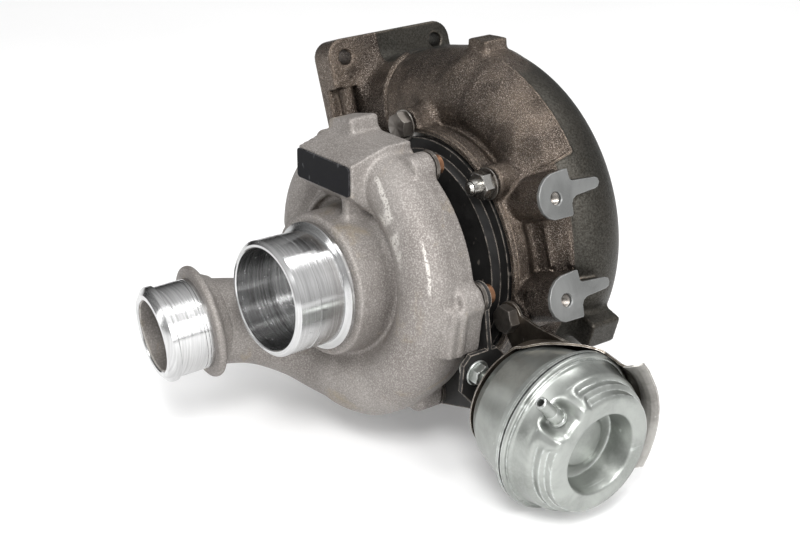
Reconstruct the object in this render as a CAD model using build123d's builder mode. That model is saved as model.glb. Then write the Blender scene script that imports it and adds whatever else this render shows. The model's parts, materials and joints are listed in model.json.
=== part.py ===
from build123d import *
import os
from math import atan2, cos, degrees, radians, sin

# Variable-nozzle turbocharger with a vacuum actuator, in millimetres.
# The shaft lies along Y: y = 0 is the mouth of the compressor inlet and +Y runs to the turbine.
# Angles about the shaft are measured from +Z towards +X, which is the way the rotor turns.

# ---------------------------------------------------------------- driving dimensions
# compressor housing
INLET_RADIUS = 30.0
INLET_BORE = 26.4
NECK_LENGTH = 28.5
COVER_REAR = 78.0
COVER_RIM = 70.0
OUTLET_RADIUS = 24.5
OUTLET_BORE = 19.0
OUTLET_MOUTH = Vector(-64.0, -28.7, -34.5)
OUTLET_AXIS = Vector(-0.177, -0.978, -0.110).normalized()
COVER_WALL = 4.0
SCREW_CIRCLE = 69.5
SCREW_START = 27.0
SCREW_COUNT = 6
SCREW_HOLE = 3.05

# centre section
BACKPLATE_RADIUS = 62.5
BACKPLATE_SCREW_CIRCLE = 38.0
CENTRE_FRONT = 80.0
CENTRE_REAR = 110.0
FLANGE_RADIUS = 62.0
BEARING_BORE = 8.0
SHAFT_RADIUS = 4.0
SEAL_RADIUS = 7.0
GROOVE_RADIUS = 6.0
STEM_HOLE = 3.02
RUNNING_GAP = 0.05

# rotor
COMPRESSOR_NOSE = 48.0
COMPRESSOR_BACK = 75.0
INDUCER_RADIUS = 20.6
COMPRESSOR_TIP = 27.0
TURBINE_BACK = 130.0
TURBINE_END = 158.0
TURBINE_TIP = 24.0
EXDUCER_RADIUS = 20.3
WHEEL_GAP = 0.4

# turbine housing
TURBINE_FRONT = 107.0
BOLT_CIRCLE = 69.0
BOLT_START = -18.0
BOLT_COUNT = 6
STUD_ANGLE = 42.0
SHIELD_BOLT_ANGLE = 102.0
SCROLL_PLANE = 150.0
TURBINE_WALL = 5.0
OUTLET_END = 196.0
INLET_TILT = 19.2
INLET_FLANGE = 86.0
INLET_FACE = 76.0
INLET_THICKNESS = 16.0
INLET_HEIGHT = 77.4
INLET_PLATE = 78.6
INLET_PLATE_Y = 152.0
INLET_SPACING = 64.0
PAD_FACE = 90.5

# variable nozzle
VANE_COUNT = 9
VANE_CIRCLE = 34.0
ARM_LENGTH = 10.0
SWING = 13.0
CRANK_ANGLE = 115.0
OPEN_ANGLE = 40.0
ARM_FRONT = 119.0
ARM_THICKNESS = 3.0
NOZZLE_FRONT = 124.0
NOZZLE_REAR = 129.6
PASSAGE_END = 139.0

# vacuum actuator
CAN_CENTRE = Vector(124.0, 90.0, -51.0)
CAN_TILT = 6.0
CAN_RADIUS = 41.6
LEVER_FRONT = 94.0
LEVER_THICKNESS = 3.0
ROD_RADIUS = 3.0
BRACKET_FACE = -48.5
STUD_SIDE = 16.5
STUD_UP = 13.5

BASE = (Align.CENTER, Align.CENTER, Align.MIN)


# ---------------------------------------------------------------- helpers
def polar(radius, angle, y=0.0):
    """Point at a radius and an angle about the shaft."""
    return Vector(radius * sin(radians(angle)), y, radius * cos(radians(angle)))


def seat(radius, angle, y, turn=0.0):
    """Plane square to the shaft: local x points outward, or turned from there the way the rotor turns."""
    return Plane(origin=polar(radius, angle, y), x_dir=polar(1, angle + turn), z_dir=(0, 1, 0))


def section_plane(radius, angle, y):
    """Plane across a scroll passage: local x points outward, the normal runs round the shaft."""
    return Plane(origin=polar(radius, angle, y), x_dir=polar(1, angle), z_dir=polar(1, angle + 90))


def outline(*points, plane=Plane.XY):
    """Closed straight-sided face. On the default plane the corners are (radius, y)."""
    with BuildSketch(plane) as face:
        with BuildLine():
            Polyline(*points, close=True)
        make_face()
    return face.sketch


def ring(plane, outer, inner=0.0):
    """Round face, with a hole where inner is given."""
    with BuildSketch(plane) as face:
        Circle(outer)
        if inner:
            Circle(inner, mode=Mode.SUBTRACT)
    return face.sketch


def hexagon(plane, across_flats, bore=0.0):
    """Hexagonal face, with a hole where bore is given."""
    with BuildSketch(plane) as face:
        RegularPolygon(across_flats / 2, 6, major_radius=False)
        if bore:
            Circle(bore, mode=Mode.SUBTRACT)
    return face.sketch


def bar(start, end, radius, mode=Mode.ADD):
    """Round bar between two points, in the current part."""
    start, end = Vector(start), Vector(end)
    with Locations(Plane(origin=start, z_dir=(end - start).normalized())):
        Cylinder(radius, (end - start).length, align=BASE, mode=mode)


# ---------------------------------------------------------------- layout worked out from the above
def compressor_radius(angle):
    """Distance of the compressor scroll's centre line from the shaft."""
    return 59.0 - 4.0 * (angle + 80) / 285


def compressor_section(angle):
    """Outer radius of the compressor scroll's section."""
    return 11.0 + 9.0 * (angle + 80) / 285


def turbine_radius(angle):
    """Distance of the turbine scroll's centre line from the shaft."""
    return 45.0 + 30.0 * (1 - (angle + 5) / 305) ** 1.7


def turbine_section(angle):
    """Outer radius of the turbine scroll's section."""
    return 12.0 + 17.0 * (1 - (angle + 5) / 305) ** 0.8


def inlet_plane(along, height=INLET_HEIGHT, y=SCROLL_PLANE):
    """Plane across the turbine inlet duct, whose normal is the way the gas flows."""
    tilt = radians(INLET_TILT)
    flow = Vector(cos(tilt), 0, sin(tilt))
    up = Vector(-sin(tilt), 0, cos(tilt))
    return Plane(origin=flow * along + up * height + Vector(0, y, 0), x_dir=up, z_dir=flow)


ROD_DIRECTION = Vector(cos(radians(CAN_TILT)), 0, -sin(radians(CAN_TILT)))
CAN_UP = Vector(sin(radians(CAN_TILT)), 0, cos(radians(CAN_TILT)))


def can_plane(along, side=0.0, up=0.0):
    """Plane square to the actuator's rod: local x is +Y, local y points up."""
    origin = CAN_CENTRE + ROD_DIRECTION * along + Vector(0, side, 0) + CAN_UP * up
    return Plane(origin=origin, x_dir=(0, 1, 0), z_dir=ROD_DIRECTION)


CAN_SIDE = Plane(origin=CAN_CENTRE, x_dir=ROD_DIRECTION, z_dir=(0, -1, 0))
CAN_AXIS = Axis(CAN_CENTRE, ROD_DIRECTION)

CRANK = polar(VANE_CIRCLE, CRANK_ANGLE)
CRANK_TO_ROD = (CRANK - Vector(CAN_CENTRE.X, 0, CAN_CENTRE.Z)).dot(CAN_UP)
LEVER_LENGTH = 2 * CRANK_TO_ROD / (1 + cos(radians(SWING)))
LEVER_DOWN = degrees(atan2(-CAN_UP.X, -CAN_UP.Z)) % 360
LEVER_PIN = CRANK + polar(LEVER_LENGTH, LEVER_DOWN + SWING)
PIN_ALONG = (LEVER_PIN - CAN_CENTRE).dot(ROD_DIRECTION)
SLOT_CIRCLE = VANE_CIRCLE + ARM_LENGTH
RING_LEAD = SWING * ARM_LENGTH / SLOT_CIRCLE
VANE_STEP = 360 / VANE_COUNT
VANE_ANGLES = [CRANK_ANGLE + VANE_STEP * (index + 0.5) for index in range(VANE_COUNT)]
GUIDE_ANGLES = [CRANK_ANGLE + VANE_STEP * (3 * index + 1) for index in range(3)]
SPACER_ANGLES = [CRANK_ANGLE + VANE_STEP * (3 * index + 2) for index in range(3)]
SCREW_ANGLES = [SCREW_START + 60 * index for index in range(SCREW_COUNT)]
BRACKET_SCREWS = (SCREW_ANGLES[1], SCREW_ANGLES[2])
BOLT_ANGLES = [BOLT_START + 60 * index for index in range(BOLT_COUNT)]

os.makedirs("parts", exist_ok=True)

# ---------------------------------------------------------------- compressor housing
LUG_RADIUS = 8.0
LUG_DEPTH = 13.0
COLLAR_RADIUS = 30.0
LIP_RADIUS = 26.0
ROOF_START = -26.0
ROOF_LENGTH = 46.0
DIFFUSER_REAR = 74.0
DIFFUSER_FRONT = 70.3
OUTLET_BACK = OUTLET_MOUTH - OUTLET_AXIS * 30
RIM_STEP = 1.5
SCROLL_FOOT = 180
# the delivery pipe leaves the foot of the scroll and swings forward to the outlet neck
PIPE_RADIUS = 21.0
PIPE_STOPS = [Vector(-22.0, 56.0, -54.0), Vector(-41.0, 47.0, -46.5), Vector(-53.0, 27.0, -37.0)]


def scroll_place(angle):
    """Plane across the compressor scroll at an angle, with the section touching the rim's step."""
    return section_plane(compressor_radius(angle), angle, COVER_REAR - RIM_STEP - compressor_section(angle))


with BuildLine() as delivery:
    Spline(
        scroll_place(SCROLL_FOOT).origin, *PIPE_STOPS, OUTLET_BACK + OUTLET_AXIS * 4,
        tangents=(scroll_place(SCROLL_FOOT).z_dir, OUTLET_AXIS),
    )
SCROLL = [(scroll_place(angle), compressor_section(angle)) for angle in range(-80, SCROLL_FOOT + 1, 20)]
for share in (0.2, 0.4, 0.6, 0.8, 1.0):
    across = Plane(origin=delivery.line @ share, x_dir=(0, 0, -1), z_dir=delivery.line % share)
    foot = compressor_section(SCROLL_FOOT)
    SCROLL.append((across, foot + (PIPE_RADIUS - foot) * share))

with BuildPart() as compressor_housing:
    for place, size in SCROLL:
        with BuildSketch(place):
            Circle(size)
    loft()
    # inlet neck, its shoulder, the cast boss behind it, the flank and the rim
    revolve(
        outline(
            (10, 0), (28.4, 0), (INLET_RADIUS, 2), (INLET_RADIUS, NECK_LENGTH), (33.3, 30), (33.3, 32),
            (36, 33), (37, 36), (37, 47), (42, 54), (56, 60), (66, 66), (COVER_RIM, 70),
            (COVER_RIM, COVER_REAR), (10, COVER_REAR),
        ),
        axis=Axis.Y,
    )
    # outlet neck with its lip bead and its collar
    bar(OUTLET_BACK, OUTLET_MOUTH, OUTLET_RADIUS)
    bar(OUTLET_MOUTH - OUTLET_AXIS * 5.5, OUTLET_MOUTH - OUTLET_AXIS * 1.5, LIP_RADIUS)
    bar(OUTLET_BACK, OUTLET_MOUTH - OUTLET_AXIS * 25, COLLAR_RADIUS)
    # screw lugs round the rear rim, the block at the top and the ribbed pad at the side
    for angle in SCREW_ANGLES:
        extrude(ring(seat(SCREW_CIRCLE, angle, COVER_REAR), LUG_RADIUS), amount=-LUG_DEPTH)
    with Locations(seat(72, -13, 69)):
        Box(17, 20, 18)
    with Locations(seat(70, 98, 68)):
        Box(13, 26, 20)
    # boss that carries the nameplate, with a roof that climbs to the rim
    with BuildSketch(Plane.YZ.offset(ROOF_START)):
        with BuildLine():
            Polyline((39.6, 49), (39.6, 66.8), (62, 73), (76, 73), (76, 40), (50, 40), close=True)
        make_face()
    extrude(amount=ROOF_LENGTH)
    # scroll passage, delivery passage and outlet bore
    for place, size in SCROLL:
        with BuildSketch(place):
            Circle(size - COVER_WALL)
    loft(mode=Mode.SUBTRACT)
    bar(OUTLET_BACK, OUTLET_MOUTH, OUTLET_BORE, mode=Mode.SUBTRACT)
    # inlet bore, wheel contour, diffuser and the recess for the backplate
    revolve(
        outline(
            (0, 0), (INLET_BORE, 0), (INLET_BORE, 22), (INDUCER_RADIUS + WHEEL_GAP, 44),
            (INDUCER_RADIUS + WHEEL_GAP, 56.6), (22.4, 62.4), (24.8, 67.4),
            (COMPRESSOR_TIP + WHEEL_GAP, DIFFUSER_FRONT), (56, DIFFUSER_FRONT), (56, DIFFUSER_REAR),
            (BACKPLATE_RADIUS + 0.1, DIFFUSER_REAR), (BACKPLATE_RADIUS + 0.1, COVER_REAR), (0, COVER_REAR),
        ),
        axis=Axis.Y,
        mode=Mode.SUBTRACT,
    )
    for angle in SCREW_ANGLES:
        extrude(ring(seat(SCREW_CIRCLE, angle, COVER_REAR), SCREW_HOLE), amount=-10, mode=Mode.SUBTRACT)

compressor_housing.part.label = "compressor_housing"
export_step(compressor_housing.part, "parts/compressor_housing.step")

# ---------------------------------------------------------------- blank nameplate
PLATE_WIDTH = 44.0
PLATE_HEIGHT = 15.5
PLATE_THICKNESS = 0.8
PLATE_FRONT = 39.6

with BuildPart() as nameplate:
    with BuildSketch(Plane.XZ.offset(-PLATE_FRONT)):
        with Locations((-3, 58)):
            RectangleRounded(PLATE_WIDTH, PLATE_HEIGHT, 2)
    extrude(amount=PLATE_THICKNESS)

nameplate.part.label = "nameplate"
export_step(nameplate.part, "parts/nameplate.step")

# ---------------------------------------------------------------- cover screws and washers
WASHER = 2.0
PLATE = 2.5
WASHER_RADIUS = 8.2
WASHER_HOLE = 3.2
HEAD_RADIUS = 5.0
HEAD_HEIGHT = 5.0
SOCKET_DEPTH = 2.5

with BuildPart() as cover_screws:
    for angle in SCREW_ANGLES:
        under_head = COVER_REAR + WASHER + (PLATE if angle in BRACKET_SCREWS else 0)
        place = seat(SCREW_CIRCLE, angle, under_head)
        extrude(ring(place, HEAD_RADIUS), amount=HEAD_HEIGHT)
        extrude(hexagon(place.offset(HEAD_HEIGHT), 5), amount=-SOCKET_DEPTH, mode=Mode.SUBTRACT)
        extrude(ring(place, 3.0), amount=-(under_head - COVER_REAR + 9))

cover_screws.part.label = "cover_screws"
export_step(cover_screws.part, "parts/cover_screws.step")

with BuildPart() as cover_washers:
    for angle in SCREW_ANGLES:
        extrude(ring(seat(SCREW_CIRCLE, angle, COVER_REAR), WASHER_RADIUS, WASHER_HOLE), amount=WASHER)

cover_washers.part.label = "cover_washers"
export_step(cover_washers.part, "parts/cover_washers.step")

# ---------------------------------------------------------------- backplate with its ring and screws
with BuildPart() as backplate:
    revolve(
        outline(
            (SEAL_RADIUS + RUNNING_GAP, 75.5), (COMPRESSOR_TIP + 0.8, 75.5),
            (COMPRESSOR_TIP + 0.8, DIFFUSER_REAR), (BACKPLATE_RADIUS, DIFFUSER_REAR),
            (BACKPLATE_RADIUS, 75.4), (60.6, 75.4), (60.6, 77.4), (BACKPLATE_RADIUS, 77.4),
            (BACKPLATE_RADIUS, COVER_REAR), (56, COVER_REAR), (56, CENTRE_FRONT),
            (SEAL_RADIUS + RUNNING_GAP, CENTRE_FRONT),
        ),
        axis=Axis.Y,
    )
    for angle in range(0, 360, 90):
        extrude(ring(seat(BACKPLATE_SCREW_CIRCLE, angle, DIFFUSER_REAR), 4.6), amount=3, mode=Mode.SUBTRACT)
        extrude(ring(seat(BACKPLATE_SCREW_CIRCLE, angle, DIFFUSER_REAR), 2.6), amount=10, mode=Mode.SUBTRACT)

backplate.part.label = "backplate"
export_step(backplate.part, "parts/backplate.step")

with BuildPart() as backplate_o_ring:
    with BuildSketch(Plane.XY):
        with Locations((61.6, 76.4)):
            Circle(0.88)
    revolve(axis=Axis.Y)

backplate_o_ring.part.label = "backplate_o_ring"
export_step(backplate_o_ring.part, "parts/backplate_o_ring.step")

with BuildPart() as backplate_screws:
    for angle in range(0, 360, 90):
        place = seat(BACKPLATE_SCREW_CIRCLE, angle, DIFFUSER_REAR + 0.2)
        extrude(ring(place, 4.3), amount=2.8)
        extrude(ring(place, 2.5), amount=11)
        extrude(hexagon(place, 3), amount=1.6, mode=Mode.SUBTRACT)

backplate_screws.part.label = "backplate_screws"
export_step(backplate_screws.part, "parts/backplate_screws.step")

# ---------------------------------------------------------------- centre housing
OIL_INLET_TOP = 44.0
OIL_DRAIN_FACE = -40.0
OIL_Y = 93.0
DRAIN_THREAD = 14.0
INLET_THREAD = 12.0
DRAIN_RADIUS = 6.5
FEED_RADIUS = 4.5
FEED_DRILL = 1.5
STOP_SCREW_HOLE = 2.55
STOP_HEIGHT = 14.0
STOP_LUG = 16.0


def stop_plane(along):
    """Plane square to the stop screw, which lies along the rod's direction beside the lever."""
    origin = CRANK - CAN_UP * STOP_HEIGHT + ROD_DIRECTION * along + Vector(0, LEVER_FRONT + 1.5, 0)
    return Plane(origin=origin, x_dir=(0, 1, 0), z_dir=ROD_DIRECTION)


with BuildPart() as centre_housing:
    revolve(
        outline(
            (SEAL_RADIUS + RUNNING_GAP, CENTRE_FRONT), (46, CENTRE_FRONT), (46, 85), (34, 87), (24, 92),
            (23, 98), (30, 101), (56, 101), (56, TURBINE_FRONT), (FLANGE_RADIUS, TURBINE_FRONT),
            (FLANGE_RADIUS, CENTRE_REAR), (24, CENTRE_REAR), (20, 116), (20, 126),
            (SEAL_RADIUS + RUNNING_GAP, 126),
        ),
        axis=Axis.Y,
    )
    # oil inlet boss above, oil drain boss below and the lug of the stop screw
    bar((0, OIL_Y, 15), (0, OIL_Y, OIL_INLET_TOP), 8.0)
    bar((0, OIL_Y, -15), (0, OIL_Y, OIL_DRAIN_FACE), 7.8)
    bar((0, OIL_Y, -32), (0, OIL_Y, OIL_DRAIN_FACE), 9.5)
    with Locations(stop_plane(STOP_LUG)):
        Box(11, 10, 8)
        with Locations((7, 0, 0)):
            Box(4, 10, 8)
    # bearing bore, pocket for the thrust bearing and collar pocket
    revolve(
        outline(
            (0, CENTRE_FRONT), (14, CENTRE_FRONT), (14, 85), (8.5, 85), (8.5, 86.3), (BEARING_BORE, 86.3),
            (BEARING_BORE, 117), (0, 117),
        ),
        axis=Axis.Y,
        mode=Mode.SUBTRACT,
    )
    bar((0, OIL_Y, OIL_INLET_TOP), (0, OIL_Y, OIL_INLET_TOP - INLET_THREAD), FEED_RADIUS, mode=Mode.SUBTRACT)
    bar((0, OIL_Y, OIL_INLET_TOP), (0, OIL_Y, 5), FEED_DRILL, mode=Mode.SUBTRACT)
    thread_end = OIL_DRAIN_FACE + DRAIN_THREAD
    bar((0, OIL_Y, OIL_DRAIN_FACE), (0, OIL_Y, thread_end), DRAIN_RADIUS, mode=Mode.SUBTRACT)
    bar((0, OIL_Y, OIL_DRAIN_FACE), (0, OIL_Y, 0), 5.0, mode=Mode.SUBTRACT)
    bar(stop_plane(0).origin, stop_plane(30).origin, STOP_SCREW_HOLE, mode=Mode.SUBTRACT)
    for angle in range(0, 360, 90):
        extrude(ring(seat(BACKPLATE_SCREW_CIRCLE, angle, CENTRE_FRONT), 2.55), amount=6, mode=Mode.SUBTRACT)
    extrude(ring(seat(VANE_CIRCLE, CRANK_ANGLE, 98), 5.55), amount=14, mode=Mode.SUBTRACT)

centre_housing.part.label = "centre_housing"
export_step(centre_housing.part, "parts/centre_housing.step")

# ---------------------------------------------------------------- bearings
FRONT_BEARING = 87.0
REAR_BEARING = 104.0
BEARING_LENGTH = 6.0
OIL_HOLE = 0.8


def bearing_profile(start, length, wall=3.9):
    """Face that turns into a plain sleeve in the bearing bore."""
    outer = BEARING_BORE - RUNNING_GAP
    inner, end = outer - wall, start + length
    return outline((inner, start), (outer, start), (outer, end), (inner, end))


with BuildPart() as front_journal_bearing:
    revolve(bearing_profile(FRONT_BEARING, BEARING_LENGTH), axis=Axis.Y)
    for angle in range(0, 360, 60):
        middle = FRONT_BEARING + BEARING_LENGTH / 2
        bar((0, middle, 0), polar(BEARING_BORE + 1, angle, middle), OIL_HOLE, mode=Mode.SUBTRACT)

front_journal_bearing.part.label = "front_journal_bearing"
export_step(front_journal_bearing.part, "parts/front_journal_bearing.step")

with BuildPart() as rear_journal_bearing:
    revolve(bearing_profile(REAR_BEARING, BEARING_LENGTH), axis=Axis.Y)
    for angle in range(0, 360, 60):
        middle = REAR_BEARING + BEARING_LENGTH / 2
        bar((0, middle, 0), polar(BEARING_BORE + 1, angle, middle), OIL_HOLE, mode=Mode.SUBTRACT)

rear_journal_bearing.part.label = "rear_journal_bearing"
export_step(rear_journal_bearing.part, "parts/rear_journal_bearing.step")

with BuildPart() as bearing_spacer:
    revolve(bearing_profile(FRONT_BEARING + 6.2, 10.6, wall=1.8), axis=Axis.Y)
    bar((0, 98, -12), (0, 98, 12), 2.5, mode=Mode.SUBTRACT)

bearing_spacer.part.label = "bearing_spacer"
export_step(bearing_spacer.part, "parts/bearing_spacer.step")

with BuildPart() as bearing_circlips:
    for start in (REAR_BEARING + BEARING_LENGTH + 0.2, REAR_BEARING + BEARING_LENGTH + 1.8):
        extrude(ring(seat(0, 0, start), BEARING_BORE - 0.02, 5.4), amount=1)
    for start in (REAR_BEARING + BEARING_LENGTH, REAR_BEARING + BEARING_LENGTH + 1.6):
        with Locations((0, start + 0.7, 7)):
            Box(3, 1.5, 4, mode=Mode.SUBTRACT)

bearing_circlips.part.label = "bearing_circlips"
export_step(bearing_circlips.part, "parts/bearing_circlips.step")

with BuildPart() as thrust_bearing:
    extrude(ring(seat(0, 0, 82.6), 13.9, 5.6), amount=2.3)

thrust_bearing.part.label = "thrust_bearing"
export_step(thrust_bearing.part, "parts/thrust_bearing.step")

# ---------------------------------------------------------------- seals of the shaft
FRONT_GROOVE = 77.0
REAR_GROOVE = 122.0
RING_WIDTH = 1.2

with BuildPart() as piston_rings:
    for start in (FRONT_GROOVE, REAR_GROOVE):
        extrude(ring(seat(0, 0, start), SEAL_RADIUS + RUNNING_GAP, 6.2), amount=RING_WIDTH)

piston_rings.part.label = "piston_rings"
export_step(piston_rings.part, "parts/piston_rings.step")

with BuildPart() as turbine_heat_shield:
    revolve(
        outline((8.5, 127.5), (20.5, 127.5), (20.5, 119), (21.5, 119), (21.5, 127.2), (25.5, 127.2),
                (25.5, 128.4), (8.5, 128.4)),
        axis=Axis.Y,
    )

turbine_heat_shield.part.label = "turbine_heat_shield"
export_step(turbine_heat_shield.part, "parts/turbine_heat_shield.step")

# ---------------------------------------------------------------- turbine housing
BOLT_LUG = 9.0
RECESS_FLOOR = 110.8
TURBINE_ANGLES = range(-5, 296, 20)
DUCT_RADIUS = 29.0
ELBOW = polar(turbine_radius(-5), -5, SCROLL_PLANE)
FOOT_HOLE = 4.25
OUTLET_HOLE = 3.4
OUTLET_SCREW_CIRCLE = 35.5
BOLT_HOLE = 4.05
BOLT_DEPTH = 18.0
PADS = ((20.24, 122.31), (-30.25, 116.36))
PAD_RADIUS = 11.3
PAD_HOLE = 3.4
PAD_THREAD = 14.0
PAD_ROOT = 9.0
PAD_HEAD = 20.0
PAD_DEPTH = 45.0
PAD_FINGER = ((7.8, -6), (6.6, -12), (5.4, -27.6), (3.4, -30), (0.5, -28.8), (-1.2, -13.6), (-4, -6))
FINGER_DEPTH = 14.0

with BuildPart() as turbine_housing:
    # scroll, and the straight inlet duct that runs into it past a round elbow
    for angle in TURBINE_ANGLES:
        with BuildSketch(section_plane(turbine_radius(angle), angle, SCROLL_PLANE)):
            Circle(turbine_section(angle))
    loft()
    bar(inlet_plane(4 - INLET_FACE).origin, ELBOW, DUCT_RADIUS)
    with Locations(ELBOW):
        Sphere(DUCT_RADIUS)
    # inlet flange
    with BuildSketch(inlet_plane(-INLET_FACE, INLET_PLATE, INLET_PLATE_Y)):
        RectangleRounded(INLET_FLANGE, INLET_FLANGE, 10)
    extrude(amount=INLET_THICKNESS)
    # front rim, drum, rear wall and exhaust outlet with its flange
    revolve(
        outline(
            (20, TURBINE_FRONT), (67, TURBINE_FRONT), (67, 118), (60, 128), (56, 150), (52, 166), (40, 170),
            (35, 176), (34, 187), (43, 187), (43, OUTLET_END), (20, OUTLET_END),
        ),
        axis=Axis.Y,
    )
    for angle in BOLT_ANGLES:
        extrude(ring(seat(BOLT_CIRCLE, angle, TURBINE_FRONT), BOLT_LUG), amount=26)
    # two mounting bosses at the side, the lifting stub on top and the stub at the lower side
    for height, y in PADS:
        pad = inlet_plane(PAD_FACE, height, y)
        with BuildSketch(pad):
            Circle(PAD_RADIUS)
        extrude(amount=-PAD_HEAD)
        with BuildSketch(pad):
            Circle(PAD_ROOT)
        extrude(amount=-PAD_DEPTH)
        with BuildSketch(pad):
            Polygon(*PAD_FINGER, align=None)
        extrude(amount=-FINGER_DEPTH)
    with Locations(seat(96, -4, SCROLL_PLANE)):
        Box(26, 15, 16)
    with Locations(seat(78, 108, SCROLL_PLANE)):
        Box(30, 16, 20)
    # scroll passage and inlet port
    for angle in TURBINE_ANGLES:
        with BuildSketch(section_plane(turbine_radius(angle), angle, SCROLL_PLANE)):
            Circle(turbine_section(angle) - TURBINE_WALL)
    loft(mode=Mode.SUBTRACT)
    bar(inlet_plane(-INLET_FACE).origin, ELBOW, DUCT_RADIUS - TURBINE_WALL, mode=Mode.SUBTRACT)
    with Locations(ELBOW):
        Sphere(DUCT_RADIUS - TURBINE_WALL, mode=Mode.SUBTRACT)
    # cavity of the nozzle drive, nozzle seat, annular gas passage, wheel contour and outlet
    revolve(
        outline(
            (0, TURBINE_FRONT), (64.6, TURBINE_FRONT), (64.6, RECESS_FLOOR), (53, RECESS_FLOOR),
            (53, NOZZLE_FRONT), (48.2, NOZZLE_FRONT), (48.2, 130.5), (52, 130.5), (52, 141),
            (46.2, 141), (46.2, 142), (28, 142), (EXDUCER_RADIUS + WHEEL_GAP, 149),
            (EXDUCER_RADIUS + WHEEL_GAP, 160), (27, 190), (27, OUTLET_END), (0, OUTLET_END),
        ),
        axis=Axis.Y,
        mode=Mode.SUBTRACT,
    )
    for angle in BOLT_ANGLES:
        bolt_hole = ring(seat(BOLT_CIRCLE, angle, TURBINE_FRONT), BOLT_HOLE)
        extrude(bolt_hole, amount=BOLT_DEPTH, mode=Mode.SUBTRACT)
    # tapped holes: inlet flange, side bosses and outlet flange
    half = INLET_SPACING / 2
    for up in (-half, half):
        for side in (-half, half):
            corner = inlet_plane(-INLET_FACE, INLET_PLATE + up, INLET_PLATE_Y + side)
            extrude(ring(corner, FOOT_HOLE), amount=INLET_THICKNESS, mode=Mode.SUBTRACT)
    for height, y in PADS:
        extrude(ring(inlet_plane(PAD_FACE, height, y), PAD_HOLE), amount=-PAD_THREAD, mode=Mode.SUBTRACT)
    for angle in (60, 180, 300):
        outlet_hole = ring(seat(OUTLET_SCREW_CIRCLE, angle, OUTLET_END), OUTLET_HOLE)
        extrude(outlet_hole, amount=-9, mode=Mode.SUBTRACT)

turbine_housing.part.label = "turbine_housing"
export_step(turbine_housing.part, "parts/turbine_housing.step")

# ---------------------------------------------------------------- turbine joint: gasket and fasteners
WASHER_FACE = 105.0
SHEET = 1.4
BOLT_RADIUS = 4.0
BOLT_FLATS = 13.0
STUD_START = 94.0
STUD_END = 122.0

with BuildPart() as turbine_gasket_ring:
    extrude(ring(seat(0, 0, CENTRE_REAR), 64.3, 54), amount=RECESS_FLOOR - CENTRE_REAR)

turbine_gasket_ring.part.label = "turbine_gasket_ring"
export_step(turbine_gasket_ring.part, "parts/turbine_gasket_ring.step")

with BuildPart() as turbine_washers:
    for angle in BOLT_ANGLES:
        extrude(ring(seat(BOLT_CIRCLE, angle, WASHER_FACE), 8.4, 4.2), amount=TURBINE_FRONT - WASHER_FACE)

turbine_washers.part.label = "turbine_washers"
export_step(turbine_washers.part, "parts/turbine_washers.step")

with BuildPart() as turbine_bolts:
    for angle in BOLT_ANGLES:
        if angle == STUD_ANGLE:
            continue
        under_head = WASHER_FACE - (SHEET if angle == SHIELD_BOLT_ANGLE else 0)
        place = seat(BOLT_CIRCLE, angle, under_head)
        extrude(hexagon(place, BOLT_FLATS), amount=-5.5)
        extrude(ring(place, BOLT_RADIUS), amount=STUD_END - under_head)

turbine_bolts.part.label = "turbine_bolts"
export_step(turbine_bolts.part, "parts/turbine_bolts.step")

with BuildPart() as turbine_stud:
    stud_face = seat(BOLT_CIRCLE, STUD_ANGLE, STUD_START)
    extrude(ring(stud_face, BOLT_RADIUS), amount=STUD_END - STUD_START)
    extrude(ring(stud_face, 3.2), amount=-1.5, taper=30)

turbine_stud.part.label = "turbine_stud"
export_step(turbine_stud.part, "parts/turbine_stud.step")

with BuildPart() as turbine_stud_nut:
    extrude(hexagon(seat(BOLT_CIRCLE, STUD_ANGLE, WASHER_FACE), BOLT_FLATS, 4.02), amount=-6.5)

turbine_stud_nut.part.label = "turbine_stud_nut"
export_step(turbine_stud_nut.part, "parts/turbine_stud_nut.step")

# ---------------------------------------------------------------- variable nozzle, fixed pieces
STEM_RADIUS = 2.5
SPACER_CIRCLE = 44.6
GUIDE_CIRCLE = 36.0
RING_INNER = 40.0
RING_OUTER = 50.0
CRANK_RADIUS = 3.5

with BuildPart() as nozzle_ring:
    extrude(ring(seat(0, 0, NOZZLE_FRONT), 48, 26), amount=NOZZLE_REAR - NOZZLE_FRONT)
    for angle in VANE_ANGLES:
        stem_hole = ring(seat(VANE_CIRCLE, angle, NOZZLE_FRONT), STEM_RADIUS + RUNNING_GAP)
        extrude(stem_hole, amount=8, mode=Mode.SUBTRACT)
    for angle in GUIDE_ANGLES:
        extrude(ring(seat(GUIDE_CIRCLE, angle, NOZZLE_FRONT), 2.0), amount=3, mode=Mode.SUBTRACT)

nozzle_ring.part.label = "nozzle_ring"
export_step(nozzle_ring.part, "parts/nozzle_ring.step")

with BuildPart() as nozzle_shroud_ring:
    extrude(ring(seat(0, 0, PASSAGE_END), 46, 28), amount=3)
    revolve(outline((24.5, PASSAGE_END), (28, PASSAGE_END), (28, 142), (24.9, 142)), axis=Axis.Y)

nozzle_shroud_ring.part.label = "nozzle_shroud_ring"
export_step(nozzle_shroud_ring.part, "parts/nozzle_shroud_ring.step")

with BuildPart() as nozzle_spacers:
    for angle in SPACER_ANGLES:
        extrude(ring(seat(SPACER_CIRCLE, angle, NOZZLE_REAR), 1.3), amount=PASSAGE_END - NOZZLE_REAR)

nozzle_spacers.part.label = "nozzle_spacers"
export_step(nozzle_spacers.part, "parts/nozzle_spacers.step")

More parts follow.
